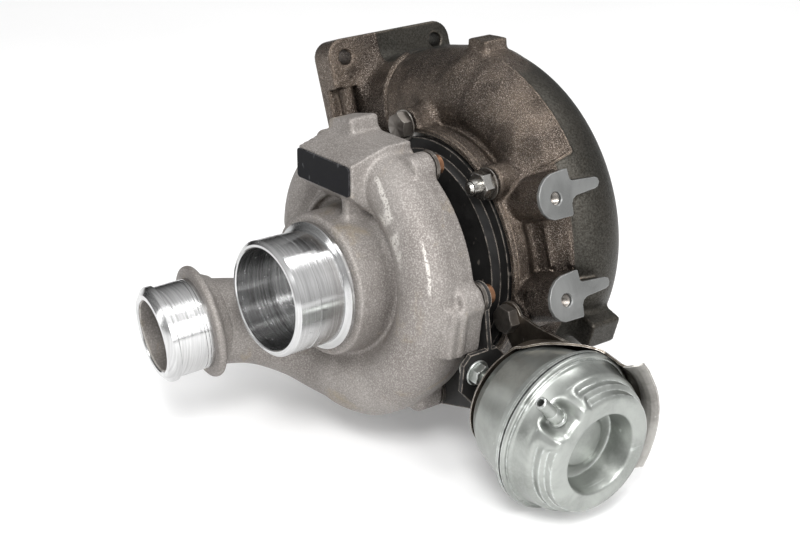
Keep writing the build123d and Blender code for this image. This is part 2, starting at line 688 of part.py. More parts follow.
with BuildPart() as ring_guide_pins:
    for angle in GUIDE_ANGLES:
        extrude(ring(seat(GUIDE_CIRCLE, angle, ARM_FRONT - 1.5), 5.0), amount=1.2)
        extrude(ring(seat(GUIDE_CIRCLE, angle, ARM_FRONT - 1), RING_INNER - GUIDE_CIRCLE - 0.06), amount=4)
        extrude(ring(seat(GUIDE_CIRCLE, angle, ARM_FRONT + ARM_THICKNESS + 0.3), 5.0), amount=1.7)
        extrude(ring(seat(GUIDE_CIRCLE, angle, NOZZLE_FRONT), 2.0), amount=3)

ring_guide_pins.part.label = "ring_guide_pins"
export_step(ring_guide_pins.part, "parts/ring_guide_pins.step")

with BuildPart() as crank_bush:
    extrude(ring(seat(VANE_CIRCLE, CRANK_ANGLE, 98), 5.5, CRANK_RADIUS + RUNNING_GAP), amount=12.5)

crank_bush.part.label = "crank_bush"
export_step(crank_bush.part, "parts/crank_bush.step")

with BuildPart() as stop_screw:
    extrude(ring(stop_plane(8), 2.5), amount=20)
    with Locations(stop_plane(28)):
        Box(6, 0.9, 2.4, mode=Mode.SUBTRACT)

stop_screw.part.label = "stop_screw"
export_step(stop_screw.part, "parts/stop_screw.step")

with BuildPart() as stop_screw_nut:
    extrude(hexagon(stop_plane(STOP_LUG + 4), 8, 2.52), amount=4)

stop_screw_nut.part.label = "stop_screw_nut"
export_step(stop_screw_nut.part, "parts/stop_screw_nut.step")


# ---------------------------------------------------------------- variable nozzle, moving pieces
TIP_RADIUS = 2.6
SLOT_RADIUS = 2.75


def arm_face(plane, hub):
    """Face of a drive arm: a round hub, a narrow neck and a round tip that fills its slot."""
    with BuildSketch(plane) as face:
        Circle(hub)
        with Locations((ARM_LENGTH / 2, 0)):
            Rectangle(ARM_LENGTH, 3.0)
        with Locations((ARM_LENGTH, 0)):
            Circle(TIP_RADIUS)
    return face.sketch


def aerofoil(plane):
    """Face of a guide vane about its pivot, with its blunt leading edge on local -x."""
    with BuildSketch(plane) as face:
        with BuildLine():
            nose = ThreePointArc((-7.2, 1.3), (-8.4, 0), (-7.2, -1.3))
            top = ThreePointArc(nose @ 0, (1, 2.2), (9.4, 0.3))
            tail = ThreePointArc(top @ 1, (9.7, 0), (9.4, -0.3))
            ThreePointArc(tail @ 1, (1, -1.7), nose @ 1)
        make_face()
    return face.sketch


with BuildPart() as unison_ring:
    extrude(ring(seat(0, 0, ARM_FRONT), RING_OUTER, RING_INNER), amount=ARM_THICKNESS)
    for angle in VANE_ANGLES + [CRANK_ANGLE]:
        with BuildSketch(seat(0, angle + RING_LEAD, ARM_FRONT)):
            with Locations((SLOT_CIRCLE, 0)):
                Circle(SLOT_RADIUS)
            with Locations((SLOT_CIRCLE - 3, 0)):
                Rectangle(6, 2 * SLOT_RADIUS)
        extrude(amount=ARM_THICKNESS, mode=Mode.SUBTRACT)

unison_ring.part.label = "unison_ring"
export_step(unison_ring.part, "parts/unison_ring.step")

for number, angle in enumerate(VANE_ANGLES, start=1):
    arm_plane = seat(VANE_CIRCLE, angle, ARM_FRONT, SWING)
    vane_plane = seat(VANE_CIRCLE, angle, NOZZLE_REAR + 0.3, 90 + OPEN_ANGLE)
    with BuildPart() as vane:
        extrude(arm_face(arm_plane, 4.6), amount=ARM_THICKNESS)
        extrude(ring(arm_plane.offset(ARM_THICKNESS), 3.6), amount=1.85)
        extrude(ring(arm_plane.offset(ARM_THICKNESS), STEM_RADIUS), amount=NOZZLE_REAR - 122 + 0.35)
        extrude(aerofoil(vane_plane), amount=PASSAGE_END - NOZZLE_REAR - 0.6)
    vane.part.label = f"vane_{number}"
    export_step(vane.part, f"parts/vane_{number}.step")

with BuildPart() as crank_shaft:
    crank_plane = seat(VANE_CIRCLE, CRANK_ANGLE, ARM_FRONT, SWING)
    extrude(arm_face(crank_plane, 5.0), amount=ARM_THICKNESS)
    extrude(ring(crank_plane, 5.0), amount=-8)
    extrude(ring(crank_plane, CRANK_RADIUS), amount=-(ARM_FRONT - 93))

crank_shaft.part.label = "crank_shaft"
export_step(crank_shaft.part, "parts/crank_shaft.step")

with BuildPart() as outer_lever:
    lever_plane = Plane(
        origin=CRANK + Vector(0, LEVER_FRONT, 0), x_dir=polar(1, LEVER_DOWN + SWING), z_dir=(0, 1, 0)
    )
    with BuildSketch(lever_plane):
        Circle(7.5)
        with Locations((LEVER_LENGTH / 2, 0)):
            Rectangle(LEVER_LENGTH, 8)
        with Locations((LEVER_LENGTH, 0)):
            Circle(5.5)
        Circle(CRANK_RADIUS, mode=Mode.SUBTRACT)
        with Locations((LEVER_LENGTH, 0)):
            Circle(2.5, mode=Mode.SUBTRACT)
    extrude(amount=LEVER_THICKNESS)

outer_lever.part.label = "outer_lever"
export_step(outer_lever.part, "parts/outer_lever.step")

with BuildPart() as lever_pin:
    pin_plane = Plane(origin=LEVER_PIN + Vector(0, LEVER_FRONT, 0), z_dir=(0, 1, 0))
    extrude(ring(pin_plane, 2.5), amount=LEVER_THICKNESS)
    extrude(ring(pin_plane, 3.6), amount=-1.1)
    extrude(ring(pin_plane, 2.5), amount=-8)
    extrude(ring(pin_plane.offset(-7), 4.2), amount=-1.2)

lever_pin.part.label = "lever_pin"
export_step(lever_pin.part, "parts/lever_pin.step")

# ---------------------------------------------------------------- actuator rod
EYE_HOLE = 3.0
EYE_WIDTH = 5.0
SOCKET_END = PIN_ALONG + 24
CUP_FLOOR = -17.0

with BuildPart() as rod_end:
    with BuildSketch(CAN_SIDE.offset(-EYE_WIDTH / 2)):
        with Locations((PIN_ALONG, 0)):
            Circle(6)
        with Locations((PIN_ALONG + 5, 0)):
            Rectangle(10, 8)
    extrude(amount=EYE_WIDTH)
    extrude(ring(can_plane(PIN_ALONG + 8), 4.6), amount=SOCKET_END - PIN_ALONG - 8)
    with BuildSketch(CAN_SIDE.offset(-EYE_WIDTH / 2)):
        with Locations((PIN_ALONG, 0)):
            Circle(EYE_HOLE)
    extrude(amount=EYE_WIDTH, mode=Mode.SUBTRACT)
    extrude(ring(can_plane(SOCKET_END), ROD_RADIUS), amount=-14, mode=Mode.SUBTRACT)

rod_end.part.label = "rod_end"
export_step(rod_end.part, "parts/rod_end.step")

with BuildPart() as rod_lock_nut:
    extrude(hexagon(can_plane(SOCKET_END), 10, ROD_RADIUS), amount=5)

rod_lock_nut.part.label = "rod_lock_nut"
export_step(rod_lock_nut.part, "parts/rod_lock_nut.step")

with BuildPart() as actuator_rod:
    extrude(ring(can_plane(SOCKET_END - 13), ROD_RADIUS), amount=CUP_FLOOR + 1.5 - SOCKET_END + 13)
    extrude(ring(can_plane(CUP_FLOOR), 5.0), amount=-1.5)

actuator_rod.part.label = "actuator_rod"
export_step(actuator_rod.part, "parts/actuator_rod.step")


def can_outline(*points):
    """Closed face of (distance along the rod, radius) corners for a body turned about the rod."""
    return outline(*points, plane=CAN_SIDE)


with BuildPart() as piston_cup:
    revolve(
        can_outline(
            (CUP_FLOOR, ROD_RADIUS), (CUP_FLOOR, 27.5), (-7, 27.5), (-7, 26.5), (CUP_FLOOR + 1, 26.5),
            (CUP_FLOOR + 1, ROD_RADIUS),
        ),
        axis=CAN_AXIS,
    )

piston_cup.part.label = "piston_cup"
export_step(piston_cup.part, "parts/piston_cup.step")

# ---------------------------------------------------------------- actuator can
REAR_FACE = -35.0
FRONT_FACE = 26.6
NIPPLE_ALONG = 17.0
NIPPLE_ANGLE = -45.0
NIPPLE_ROOT = 31.0
NIPPLE_SHOULDER = 38.5
NIPPLE_TIP = 50.0
NIPPLE_RADIUS = 3.15
NIPPLE_BASE = 3.9
NIPPLE_BORE = 1.7

with BuildPart() as actuator_rear_shell:
    revolve(
        can_outline(
            (REAR_FACE, 6.1), (REAR_FACE, 26), (-33.5, 29.5), (-28, 33), (-7, 38.4), (-2.2, 38.6),
            (-2.2, CAN_RADIUS), (-0.4, CAN_RADIUS), (-0.4, 37.4), (-7, 37.2), (-27.5, 31.9), (-32.4, 28.8),
            (-33.8, 25.5), (-33.8, 6.1),
        ),
        axis=CAN_AXIS,
    )

actuator_rear_shell.part.label = "actuator_rear_shell"
export_step(actuator_rear_shell.part, "parts/actuator_rear_shell.step")

with BuildPart() as actuator_front_shell:
    revolve(
        can_outline(
            (0.4, CAN_RADIUS), (2.4, CAN_RADIUS), (2.4, 38.8), (3.4, 37.8), (13, 36.8), (15, 35.6),
            (19, 34.6), (20.5, 32.6), (24.6, 31.8), (FRONT_FACE, 29.8), (FRONT_FACE, 21.4), (25, 20),
            (12, 18.6),
            (12, 0), (10.8, 0), (10.8, 19.8), (24.4, 21.2), (25.4, 22.2), (25.4, 29.2), (24, 30.6),
            (19.6, 31.4), (18.2, 33.4), (14, 34.6), (12.4, 35.6), (2.6, 36.6), (0.4, 37.4),
        ),
        axis=CAN_AXIS,
    )
    nipple_out = Vector(0, sin(radians(NIPPLE_ANGLE)), 0) + CAN_UP * cos(radians(NIPPLE_ANGLE))
    nipple_origin = CAN_CENTRE + ROD_DIRECTION * NIPPLE_ALONG
    bar(nipple_origin + nipple_out * 28, nipple_origin + nipple_out * 40, NIPPLE_BASE + 0.02,
        mode=Mode.SUBTRACT)

actuator_front_shell.part.label = "actuator_front_shell"
export_step(actuator_front_shell.part, "parts/actuator_front_shell.step")

with BuildPart() as vacuum_nipple:
    nipple_root = nipple_origin + nipple_out * NIPPLE_ROOT
    nipple_tip = nipple_origin + nipple_out * NIPPLE_TIP
    bar(nipple_root, nipple_origin + nipple_out * NIPPLE_SHOULDER, NIPPLE_BASE)
    bar(nipple_root, nipple_tip, NIPPLE_RADIUS)
    bar(nipple_root, nipple_tip, NIPPLE_BORE, mode=Mode.SUBTRACT)

vacuum_nipple.part.label = "vacuum_nipple"
export_step(vacuum_nipple.part, "parts/vacuum_nipple.step")

with BuildPart() as rod_guide_bush:
    revolve(
        can_outline((-39, ROD_RADIUS + 0.1), (-39, 6.05), (-33.8, 6.05), (-33.8, 8), (-31.8, 8),
                    (-31.8, ROD_RADIUS + 0.1)),
        axis=CAN_AXIS,
    )

rod_guide_bush.part.label = "rod_guide_bush"
export_step(rod_guide_bush.part, "parts/rod_guide_bush.step")

with BuildPart() as diaphragm:
    revolve(
        can_outline(
            (-0.3, 41), (-0.3, 38), (-9.6, 34.9), (-12.4, 31.2), (-10.2, 27.9), (-7.2, 27.7), (-7.2, 28.4),
            (-9.8, 28.7), (-11.5, 31.2), (-9, 34.2), (0.3, 37.2), (0.3, 41),
        ),
        axis=CAN_AXIS,
    )

diaphragm.part.label = "diaphragm"
export_step(diaphragm.part, "parts/diaphragm.step")

SPRING_START = CUP_FLOOR + 2.4
SPRING_END = 23.8
SPRING_RADIUS = 24.6
WIRE_RADIUS = 1.1

with BuildPart() as actuator_spring:
    with BuildLine() as coil:
        Helix(
            pitch=(SPRING_END - SPRING_START) / 6,
            height=SPRING_END - SPRING_START,
            radius=SPRING_RADIUS,
            center=CAN_CENTRE + ROD_DIRECTION * SPRING_START,
            direction=ROD_DIRECTION,
        )
    with BuildSketch(Plane(origin=coil.line @ 0, z_dir=coil.line % 0)):
        Circle(WIRE_RADIUS)
    sweep(path=coil.line, is_frenet=True)

actuator_spring.part.label = "actuator_spring"
export_step(actuator_spring.part, "parts/actuator_spring.step")

# ---------------------------------------------------------------- actuator mounting
STUD_PLACES = ((-STUD_SIDE, STUD_UP), (STUD_SIDE, -STUD_UP))
BRACKET_Y = COVER_REAR + WASHER

with BuildPart() as actuator_studs:
    for side, up in STUD_PLACES:
        extrude(ring(can_plane(REAR_FACE, side, up), 3.0), amount=-22.5)

actuator_studs.part.label = "actuator_studs"
export_step(actuator_studs.part, "parts/actuator_studs.step")

with BuildPart() as actuator_nuts:
    for side, up in STUD_PLACES:
        front = can_plane(BRACKET_FACE, side, up)
        extrude(ring(front, 6.8, 3.02), amount=1.4)
        extrude(hexagon(front.offset(1.4), 10, 3.02), amount=5)
        extrude(hexagon(front.offset(-PLATE), 10, 3.02), amount=-5)

actuator_nuts.part.label = "actuator_nuts"
export_step(actuator_nuts.part, "parts/actuator_nuts.step")

with BuildPart() as actuator_bracket:
    # web that lies on two of the cover screws
    ears = [polar(SCREW_CIRCLE, angle) for angle in BRACKET_SCREWS]
    corner_top = CAN_CENTRE + ROD_DIRECTION * BRACKET_FACE + CAN_UP * 24
    corner_foot = CAN_CENTRE + ROD_DIRECTION * BRACKET_FACE - CAN_UP * 11
    with BuildSketch(Plane.XZ.offset(-BRACKET_Y - PLATE)):
        with BuildLine():
            Polyline(
                (ears[0].X - 4, ears[0].Z - 6), (ears[0].X + 6, ears[0].Z - 5),
                (corner_top.X, corner_top.Z), (corner_foot.X, corner_foot.Z),
                (ears[1].X + 4, ears[1].Z - 7), (ears[1].X - 3, ears[1].Z + 6), close=True,
            )
        make_face()
        with Locations(*[(ear.X, ear.Z) for ear in ears]):
            Circle(8)
        with Locations(*[(ear.X, ear.Z) for ear in ears]):
            Circle(3.2, mode=Mode.SUBTRACT)
    extrude(amount=PLATE)
    # flange that carries the can, square to the rod
    with BuildSketch(can_plane(BRACKET_FACE)):
        with BuildLine():
            Polyline((-25, 4), (-25, 19), (-21, 24), (-4, 24), (8, 12), (25, -2), (25, -18), (20, -23.5),
                     (6, -23.5), (-14, -8), close=True)
        make_face()
        Circle(8.5, mode=Mode.SUBTRACT)
        with Locations(*STUD_PLACES):
            Circle(3.2, mode=Mode.SUBTRACT)
    extrude(amount=-PLATE)

actuator_bracket.part.label = "actuator_bracket"
export_step(actuator_bracket.part, "parts/actuator_bracket.step")

# ---------------------------------------------------------------- actuator heat shield
SHIELD_REAR = -37.4
SHIELD_SHEET = 1.0
SHIELD_END = 130.0
COLLAR_END = -5.0
EAR_START = 36.0
EAR_TIP = 19.0
SHIELD_FLARE = ((SHIELD_REAR, 29.0), (-33.0, 33.5), (-28.0, 35.5), (-8.0, 42.0), (-3.0, 43.2))


def flare_radius(along):
    """Outer radius of the shield at a distance along the rod."""
    for (start, low), (end, high) in zip(SHIELD_FLARE, SHIELD_FLARE[1:]):
        if along <= end:
            return low + (high - low) * (along - start) / (end - start)
    return SHIELD_FLARE[-1][1] + (along - SHIELD_FLARE[-1][0]) * 0.065


def flared_sheet(start, end, tip):
    """Sheet turned about the rod from one angle to another, measured from up towards +Y."""
    out = CAN_UP * cos(radians(start)) + Vector(0, sin(radians(start)), 0)
    place = Plane(origin=CAN_CENTRE, x_dir=ROD_DIRECTION, z_dir=ROD_DIRECTION.cross(out))
    stops = [along for along, radius in SHIELD_FLARE if along < tip] + [tip]
    outer = [(along, flare_radius(along)) for along in stops]
    inner = [(stop + SHIELD_SHEET * 0.4, flare_radius(stop) - SHIELD_SHEET) for stop in stops[:-1]]
    inner.append((tip, flare_radius(tip) - SHIELD_SHEET))
    revolve(
        outline(*outer, *reversed(inner), plane=place),
        axis=Axis(CAN_CENTRE, -ROD_DIRECTION),
        revolution_arc=end - start,
    )


with BuildPart() as actuator_heat_shield:
    # tab that runs up to one of the turbine bolts, cut back to the shield's outer face
    bolt = polar(BOLT_CIRCLE, SHIELD_BOLT_ANGLE)
    foot = CAN_CENTRE + ROD_DIRECTION * SHIELD_REAR
    brow = CAN_CENTRE + ROD_DIRECTION * -20 + CAN_UP * 36
    with BuildSketch(Plane.XZ.offset(-WASHER_FACE)):
        with BuildLine():
            Polyline(
                (bolt.X - 7, bolt.Z - 4), (bolt.X + 8, bolt.Z + 4), (bolt.X + 19, bolt.Z + 2),
                (brow.X, brow.Z), (brow.X, foot.Z), (foot.X, foot.Z + 2), (bolt.X + 2, bolt.Z - 16),
                close=True,
            )
        make_face()
        with Locations((bolt.X, bolt.Z)):
            Circle(8.6)
        with Locations((bolt.X, bolt.Z)):
            Circle(4.2, mode=Mode.SUBTRACT)
    extrude(amount=SHEET)
    hollow = [(along + 0.5, radius - SHIELD_SHEET / 2) for along, radius in SHIELD_FLARE]
    revolve(
        can_outline((hollow[0][0], 0), *hollow, (hollow[-1][0], 0)),
        axis=CAN_AXIS,
        mode=Mode.SUBTRACT,
    )
    # rear disc, collar behind the crimp ring and the ear that wraps the side towards the turbine
    extrude(ring(can_plane(SHIELD_REAR), 29), amount=SHIELD_SHEET)
    flared_sheet(0, SHIELD_END, COLLAR_END)
    flared_sheet(EAR_START, SHIELD_END, EAR_TIP)
    extrude(ring(can_plane(SHIELD_REAR - 1), 6.6), amount=4, mode=Mode.SUBTRACT)
    for side, up in STUD_PLACES:
        extrude(ring(can_plane(SHIELD_REAR - 1, side, up), 3.2), amount=4, mode=Mode.SUBTRACT)

actuator_heat_shield.part.label = "actuator_heat_shield"
export_step(actuator_heat_shield.part, "parts/actuator_heat_shield.step")

# ---------------------------------------------------------------- rotor
FULL_BLADES = 6
TURBINE_BLADES = 11


def blade_section(y, turn, outer, thickness):
    """Thin radial strip from the shaft to a radius, turned about the shaft."""
    with BuildSketch(seat(0, turn, y)) as strip:
        with Locations((outer / 2 + 1, 0)):
            Rectangle(outer - 2, thickness)
    return strip.sketch


with BuildPart() as compressor_wheel:
    # blades, cut to the shape of the wheel's contour
    for blade in range(2 * FULL_BLADES):
        front = COMPRESSOR_NOSE + (1 if blade % 2 == 0 else 8)
        stations = [front + (74 - front) * step / 4 for step in range(5)]
        strips = [
            blade_section(y, 30 * blade - 50 * (1 - (y - 49) / 25) ** 2, 30, 0.9) for y in stations
        ]
        loft(sections=strips)
    revolve(
        outline(
            (0, 40), (INDUCER_RADIUS, 40), (INDUCER_RADIUS, 56.8), (22.0, 62.6), (24.4, 67.6),
            (COMPRESSOR_TIP, 70.8), (COMPRESSOR_TIP, 74), (0, 74),
        ),
        axis=Axis.Y,
        mode=Mode.INTERSECT,
    )
    revolve(
        outline(
            (0, COMPRESSOR_NOSE), (6.6, COMPRESSOR_NOSE), (7.6, 54), (9.4, 60), (12.6, 66), (17.6, 70.6),
            (23, 72.8), (COMPRESSOR_TIP, 73.6), (COMPRESSOR_TIP, 74.4), (9, COMPRESSOR_BACK),
            (0, COMPRESSOR_BACK),
        ),
        axis=Axis.Y,
    )
    extrude(ring(seat(0, 0, COMPRESSOR_NOSE - 1), STEM_HOLE), amount=40, mode=Mode.SUBTRACT)

compressor_wheel.part.label = "compressor_wheel"
export_step(compressor_wheel.part, "parts/compressor_wheel.step")

with BuildPart() as compressor_nut:
    extrude(hexagon(seat(0, 0, 42.6), 9, STEM_HOLE), amount=4)
    extrude(ring(seat(0, 0, 46.6), 6.0, STEM_HOLE), amount=COMPRESSOR_NOSE - 46.6)

compressor_nut.part.label = "compressor_nut"
export_step(compressor_nut.part, "parts/compressor_nut.step")

with BuildPart() as oil_flinger:
    revolve(
        outline(
            (STEM_HOLE, COMPRESSOR_BACK), (SEAL_RADIUS, COMPRESSOR_BACK),
            (SEAL_RADIUS, FRONT_GROOVE - 0.1), (GROOVE_RADIUS, FRONT_GROOVE - 0.1),
            (GROOVE_RADIUS, FRONT_GROOVE + RING_WIDTH + 0.1), (SEAL_RADIUS, FRONT_GROOVE + RING_WIDTH + 0.1),
            (SEAL_RADIUS, 80.3), (10, 80.3), (10, 81.4), (STEM_HOLE, 81.4),
        ),
        axis=Axis.Y,
    )

oil_flinger.part.label = "oil_flinger"
export_step(oil_flinger.part, "parts/oil_flinger.step")

with BuildPart() as thrust_collar:
    revolve(
        outline(
            (STEM_HOLE, 81.4), (8, 81.4), (8, 82.5), (5.5, 82.5), (5.5, 85.0), (8, 85.0), (8, 86),
            (STEM_HOLE, 86),
        ),
        axis=Axis.Y,
    )

thrust_collar.part.label = "thrust_collar"
export_step(thrust_collar.part, "parts/thrust_collar.step")

with BuildPart() as turbine_wheel_shaft:
    for blade in range(TURBINE_BLADES):
        stations = [130.5 + 27.5 * step / 4 for step in range(5)]
        strips = [
            blade_section(y, 360 / TURBINE_BLADES * blade - 48 * ((y - 130.5) / 27.5) ** 2, 26, 1.2)
            for y in stations
        ]
        loft(sections=strips)
    revolve(
        outline(
            (0, 130), (TURBINE_TIP, 130), (TURBINE_TIP, 138.6), (22.4, 142), (EXDUCER_RADIUS + 0.5, 146),
            (EXDUCER_RADIUS, 149), (EXDUCER_RADIUS, TURBINE_END), (0, TURBINE_END),
        ),
        axis=Axis.Y,
        mode=Mode.INTERSECT,
    )
    revolve(
        outline(
            (0, TURBINE_BACK), (20, TURBINE_BACK), (20, 131.2), (14, 134), (10, 139), (7.6, 146), (6.6, 156),
            (6.0, 161), (3.5, 162.5), (0, 162.5),
        ),
        axis=Axis.Y,
    )
    # seal journal with its ring groove, bearing journal and the stem of the compressor wheel
    revolve(
        outline(
            (0, 41), (2.4, 41), (3.0, 41.6), (3.0, 86), (SHAFT_RADIUS, 86), (SHAFT_RADIUS, 118.3),
            (SEAL_RADIUS, 118.3), (SEAL_RADIUS, REAR_GROOVE - 0.1), (GROOVE_RADIUS, REAR_GROOVE - 0.1),
            (GROOVE_RADIUS, REAR_GROOVE + RING_WIDTH + 0.1), (SEAL_RADIUS, REAR_GROOVE + RING_WIDTH + 0.1),
            (SEAL_RADIUS, TURBINE_BACK + 0.5), (0, TURBINE_BACK + 0.5),
        ),
        axis=Axis.Y,
    )

turbine_wheel_shaft.part.label = "turbine_wheel_shaft"
export_step(turbine_wheel_shaft.part, "parts/turbine_wheel_shaft.step")
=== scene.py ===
import json
from functools import reduce
from math import atan2, copysign, cos, degrees, pi, radians, sin, sqrt, tan

import bmesh
import bpy
import numpy as np
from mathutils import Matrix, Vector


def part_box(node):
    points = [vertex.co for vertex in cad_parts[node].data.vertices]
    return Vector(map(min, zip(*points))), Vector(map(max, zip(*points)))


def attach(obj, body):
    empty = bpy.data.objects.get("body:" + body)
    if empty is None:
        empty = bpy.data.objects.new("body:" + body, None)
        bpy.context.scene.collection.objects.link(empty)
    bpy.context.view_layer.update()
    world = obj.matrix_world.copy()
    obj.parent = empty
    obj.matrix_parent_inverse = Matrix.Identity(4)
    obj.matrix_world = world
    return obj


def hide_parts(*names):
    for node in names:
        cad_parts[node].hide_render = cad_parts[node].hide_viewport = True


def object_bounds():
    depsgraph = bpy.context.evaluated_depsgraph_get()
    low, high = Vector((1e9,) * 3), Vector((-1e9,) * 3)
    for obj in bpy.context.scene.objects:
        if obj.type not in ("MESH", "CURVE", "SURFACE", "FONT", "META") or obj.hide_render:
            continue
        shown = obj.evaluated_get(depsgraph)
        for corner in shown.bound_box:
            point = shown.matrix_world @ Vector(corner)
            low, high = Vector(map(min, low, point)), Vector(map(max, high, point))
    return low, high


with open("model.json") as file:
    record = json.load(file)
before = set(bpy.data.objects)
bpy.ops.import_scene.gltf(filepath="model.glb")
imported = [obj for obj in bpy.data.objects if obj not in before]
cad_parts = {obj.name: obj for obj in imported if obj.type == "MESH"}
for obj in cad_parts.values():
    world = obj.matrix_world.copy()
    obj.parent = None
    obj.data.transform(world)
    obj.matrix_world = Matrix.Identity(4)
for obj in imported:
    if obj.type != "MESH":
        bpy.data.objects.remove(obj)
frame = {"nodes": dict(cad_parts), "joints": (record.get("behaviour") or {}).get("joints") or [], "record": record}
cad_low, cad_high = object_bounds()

import openvdb
from mathutils import Matrix, Vector

MM = 0.001
nodes = frame["nodes"]
mounts = {m["name"]: m for m in frame["record"]["mounts"]}
joints = {j["name"]: j for j in frame["joints"]}

# ---------- where things are, in millimetres
SCREW_CIRCLE = 69.5
SCREW_ANGLES = [27 + 60 * k for k in range(6)]
OUTLET_AXIS = Vector(mounts["compressor_outlet_bore"]["axis"]).normalized()
OUTLET_MOUTH = Vector(mounts["compressor_outlet_bore"]["pos_m"]) / MM + OUTLET_AXIS * 10
TURBINE_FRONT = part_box("turbine_housing")[0].y / MM
SCROLL_Y = 150.0
DUCT_HEIGHT, DUCT_BORE = 77.4, 24.0
FLANGE_HEIGHT, FLANGE_Y, FLANGE_BOLT = 78.6, 152.0, 32.0
BOLT_CIRCLE, OUTLET_CIRCLE = 69.0, 35.5
BOLT_ANGLES = [-18 + 60 * k for k in range(6)]
STUD_ANGLE = 42
SHIELD_BOLT_ANGLE = 102
WASHER_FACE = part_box("turbine_washers")[0].y / MM
TILT = radians(19.2)
FLOW = Vector((cos(TILT), 0, sin(TILT)))
FLOW_UP = Vector((-sin(TILT), 0, cos(TILT)))
CAN_CENTRE = Vector((124.0, 90.0, -51.0))
ROD = Vector(joints["rod_slide"]["axis"]).normalized()
CAN_UP = Vector((-ROD.z, 0, ROD.x))
SIDE = Vector((0, 1, 0))
AXES = (Vector((1, 0, 0)), SIDE, Vector((0, 0, 1)))


def polar(radius, angle, y=0.0):
    """Point at a radius and an angle about the shaft, measured from +Z towards +X."""
    return Vector((radius * sin(radians(angle)), y, radius * cos(radians(angle))))


def duct(along, height, y):
    """Point in the turbine inlet's frame."""
    return FLOW * along + FLOW_UP * height + Vector((0, y, 0))


def in_duct(along):
    """Point on the middle line of the turbine inlet."""
    return duct(along, DUCT_HEIGHT, SCROLL_Y)


def on_can(along, side=0.0, up=0.0):
    """Point in the actuator's frame."""
    return CAN_CENTRE + ROD * along + SIDE * side + CAN_UP * up


# ---------- castings from distance fields
FAR = 60.0  # the field's value far outside the metal


def soft_min(a, b, blend):
    """The smaller of two distances, with a fillet of the blend's size where they meet."""
    if not blend:
        return np.minimum(a, b)
    share = np.clip(0.5 + 0.5 * (b - a) / blend, 0, 1)
    return b + (a - b) * share - blend * share * (1 - share)


class Casting:
    """Distance field of a cast part on a grid in millimetres, negative inside the metal."""

    def __init__(self, low, high, step):
        self.low, self.step = np.array(low, float), step
        self.axes = [np.arange(a, b, step, dtype=np.float32) for a, b in zip(low, high)]
        self.field = np.full([len(axis) for axis in self.axes], FAR, np.float32)

    def _window(self, near):
        """Part of the grid within reach of a centre, as slices and as coordinates."""
        if near is None:
            slices = [slice(0, len(axis)) for axis in self.axes]
        else:
            centre, reach = near
            slices = []
            for middle, axis, start in zip(centre, self.axes, self.low):
                first = max(0, int((middle - reach - start) / self.step))
                last = min(len(axis), int((middle + reach - start) / self.step) + 2)
                slices.append(slice(first, max(first, last)))
        shapes = ((-1, 1, 1), (1, -1, 1), (1, 1, -1))
        points = [axis[s].reshape(shape) for axis, s, shape in zip(self.axes, slices, shapes)]
        return tuple(slices), points

    def add(self, shape, blend=0.0, near=None, sign=1):
        where, points = self._window(near)
        self.field[where] = sign * soft_min(sign * self.field[where], shape(*points), blend)

    def cut(self, shape, blend=0.0, near=None):
        self.add(shape, blend, near, -1)

    def mesh(self, name):
        """Surface of the finished field as a piece, its faces turned outwards."""
        grid = openvdb.FloatGrid(FAR)
        grid.copyFromArray(self.field)
        points, quads = grid.convertToQuads(0.0)
        points = (points * self.step + self.low) * MM
        data = bpy.data.meshes.new(name)
        corners = points[quads]
        first = np.cross(corners[:, 1] - corners[:, 0], corners[:, 2] - corners[:, 0])
        if np.einsum("ij,ij->", first, corners[:, 0]) < 0:
            quads = quads[:, ::-1]
        data.from_pydata(points.tolist(), [], quads.tolist())
        data.shade_smooth()
        return put(name, data)


def put(name, data):
    piece = bpy.data.objects.new(name, data)
    bpy.context.scene.collection.objects.link(piece)
    return piece


def around(items):
    """Each item with the next one, and the last with the first."""
    return list(zip(items, items[1:] + items[:1]))


def sqrt_sum(*parts):
    """Length of a vector given by its parts."""
    return np.sqrt(sum(part * part for part in parts))


def corner_distance(a, b):
    """Distance to the corner where two walls meet, given the distances past each wall."""
    return sqrt_sum(np.maximum(a, 0), np.maximum(b, 0)) + np.minimum(np.maximum(a, b), 0)


def polygon_distance(u, v, corners):
    """Signed distance to a closed polygon in the plane of u and v."""
    best, inside = np.inf, False
    for (au, av), (bu, bv) in around(corners):
        eu, ev = bu - au, bv - av
        wu, wv = u - au, v - av
        share = np.clip((wu * eu + wv * ev) / (eu * eu + ev * ev), 0, 1)
        gap = (wu - eu * share) ** 2 + (wv - ev * share) ** 2
        best = np.minimum(best, gap)
        inside = inside ^ (((v >= av) != (v >= bv)) & ((eu * wv - ev * wu > 0) == (bv > av)))
    return np.sqrt(best) * np.where(inside, -1, 1)


def turned(*corners):
    """Body turned about the shaft; the corners are (radius, y)."""
    return lambda x, y, z: polygon_distance(np.sqrt(x * x + z * z), y, list(corners))


def local(x, y, z, origin, axes):
    """Coordinates from an origin along the given axes."""
    dx, dy, dz = x - origin[0], y - origin[1], z - origin[2]
    return [dx * a[0] + dy * a[1] + dz * a[2] for a in axes]


def block(origin, axes, half, rounding=1.0):
    """Box with rounded edges on the given axes."""

    def distance(x, y, z):
        out = [abs(c) - (h - rounding) for c, h in zip(local(x, y, z, origin, axes), half)]
        beyond = sqrt_sum(*[np.maximum(c, 0) for c in out])
        return beyond + np.minimum(np.maximum(np.maximum(out[0], out[1]), out[2]), 0) - rounding

    return distance


def round_parts(x, y, z, centre, axis):
    """Distance along an axis, and out from it."""
    dx, dy, dz = x - centre.x, y - centre.y, z - centre.z
    along = dx * axis.x + dy * axis.y + dz * axis.z
    return along, np.sqrt(np.maximum(dx * dx + dy * dy + dz * dz - along * along, 0))


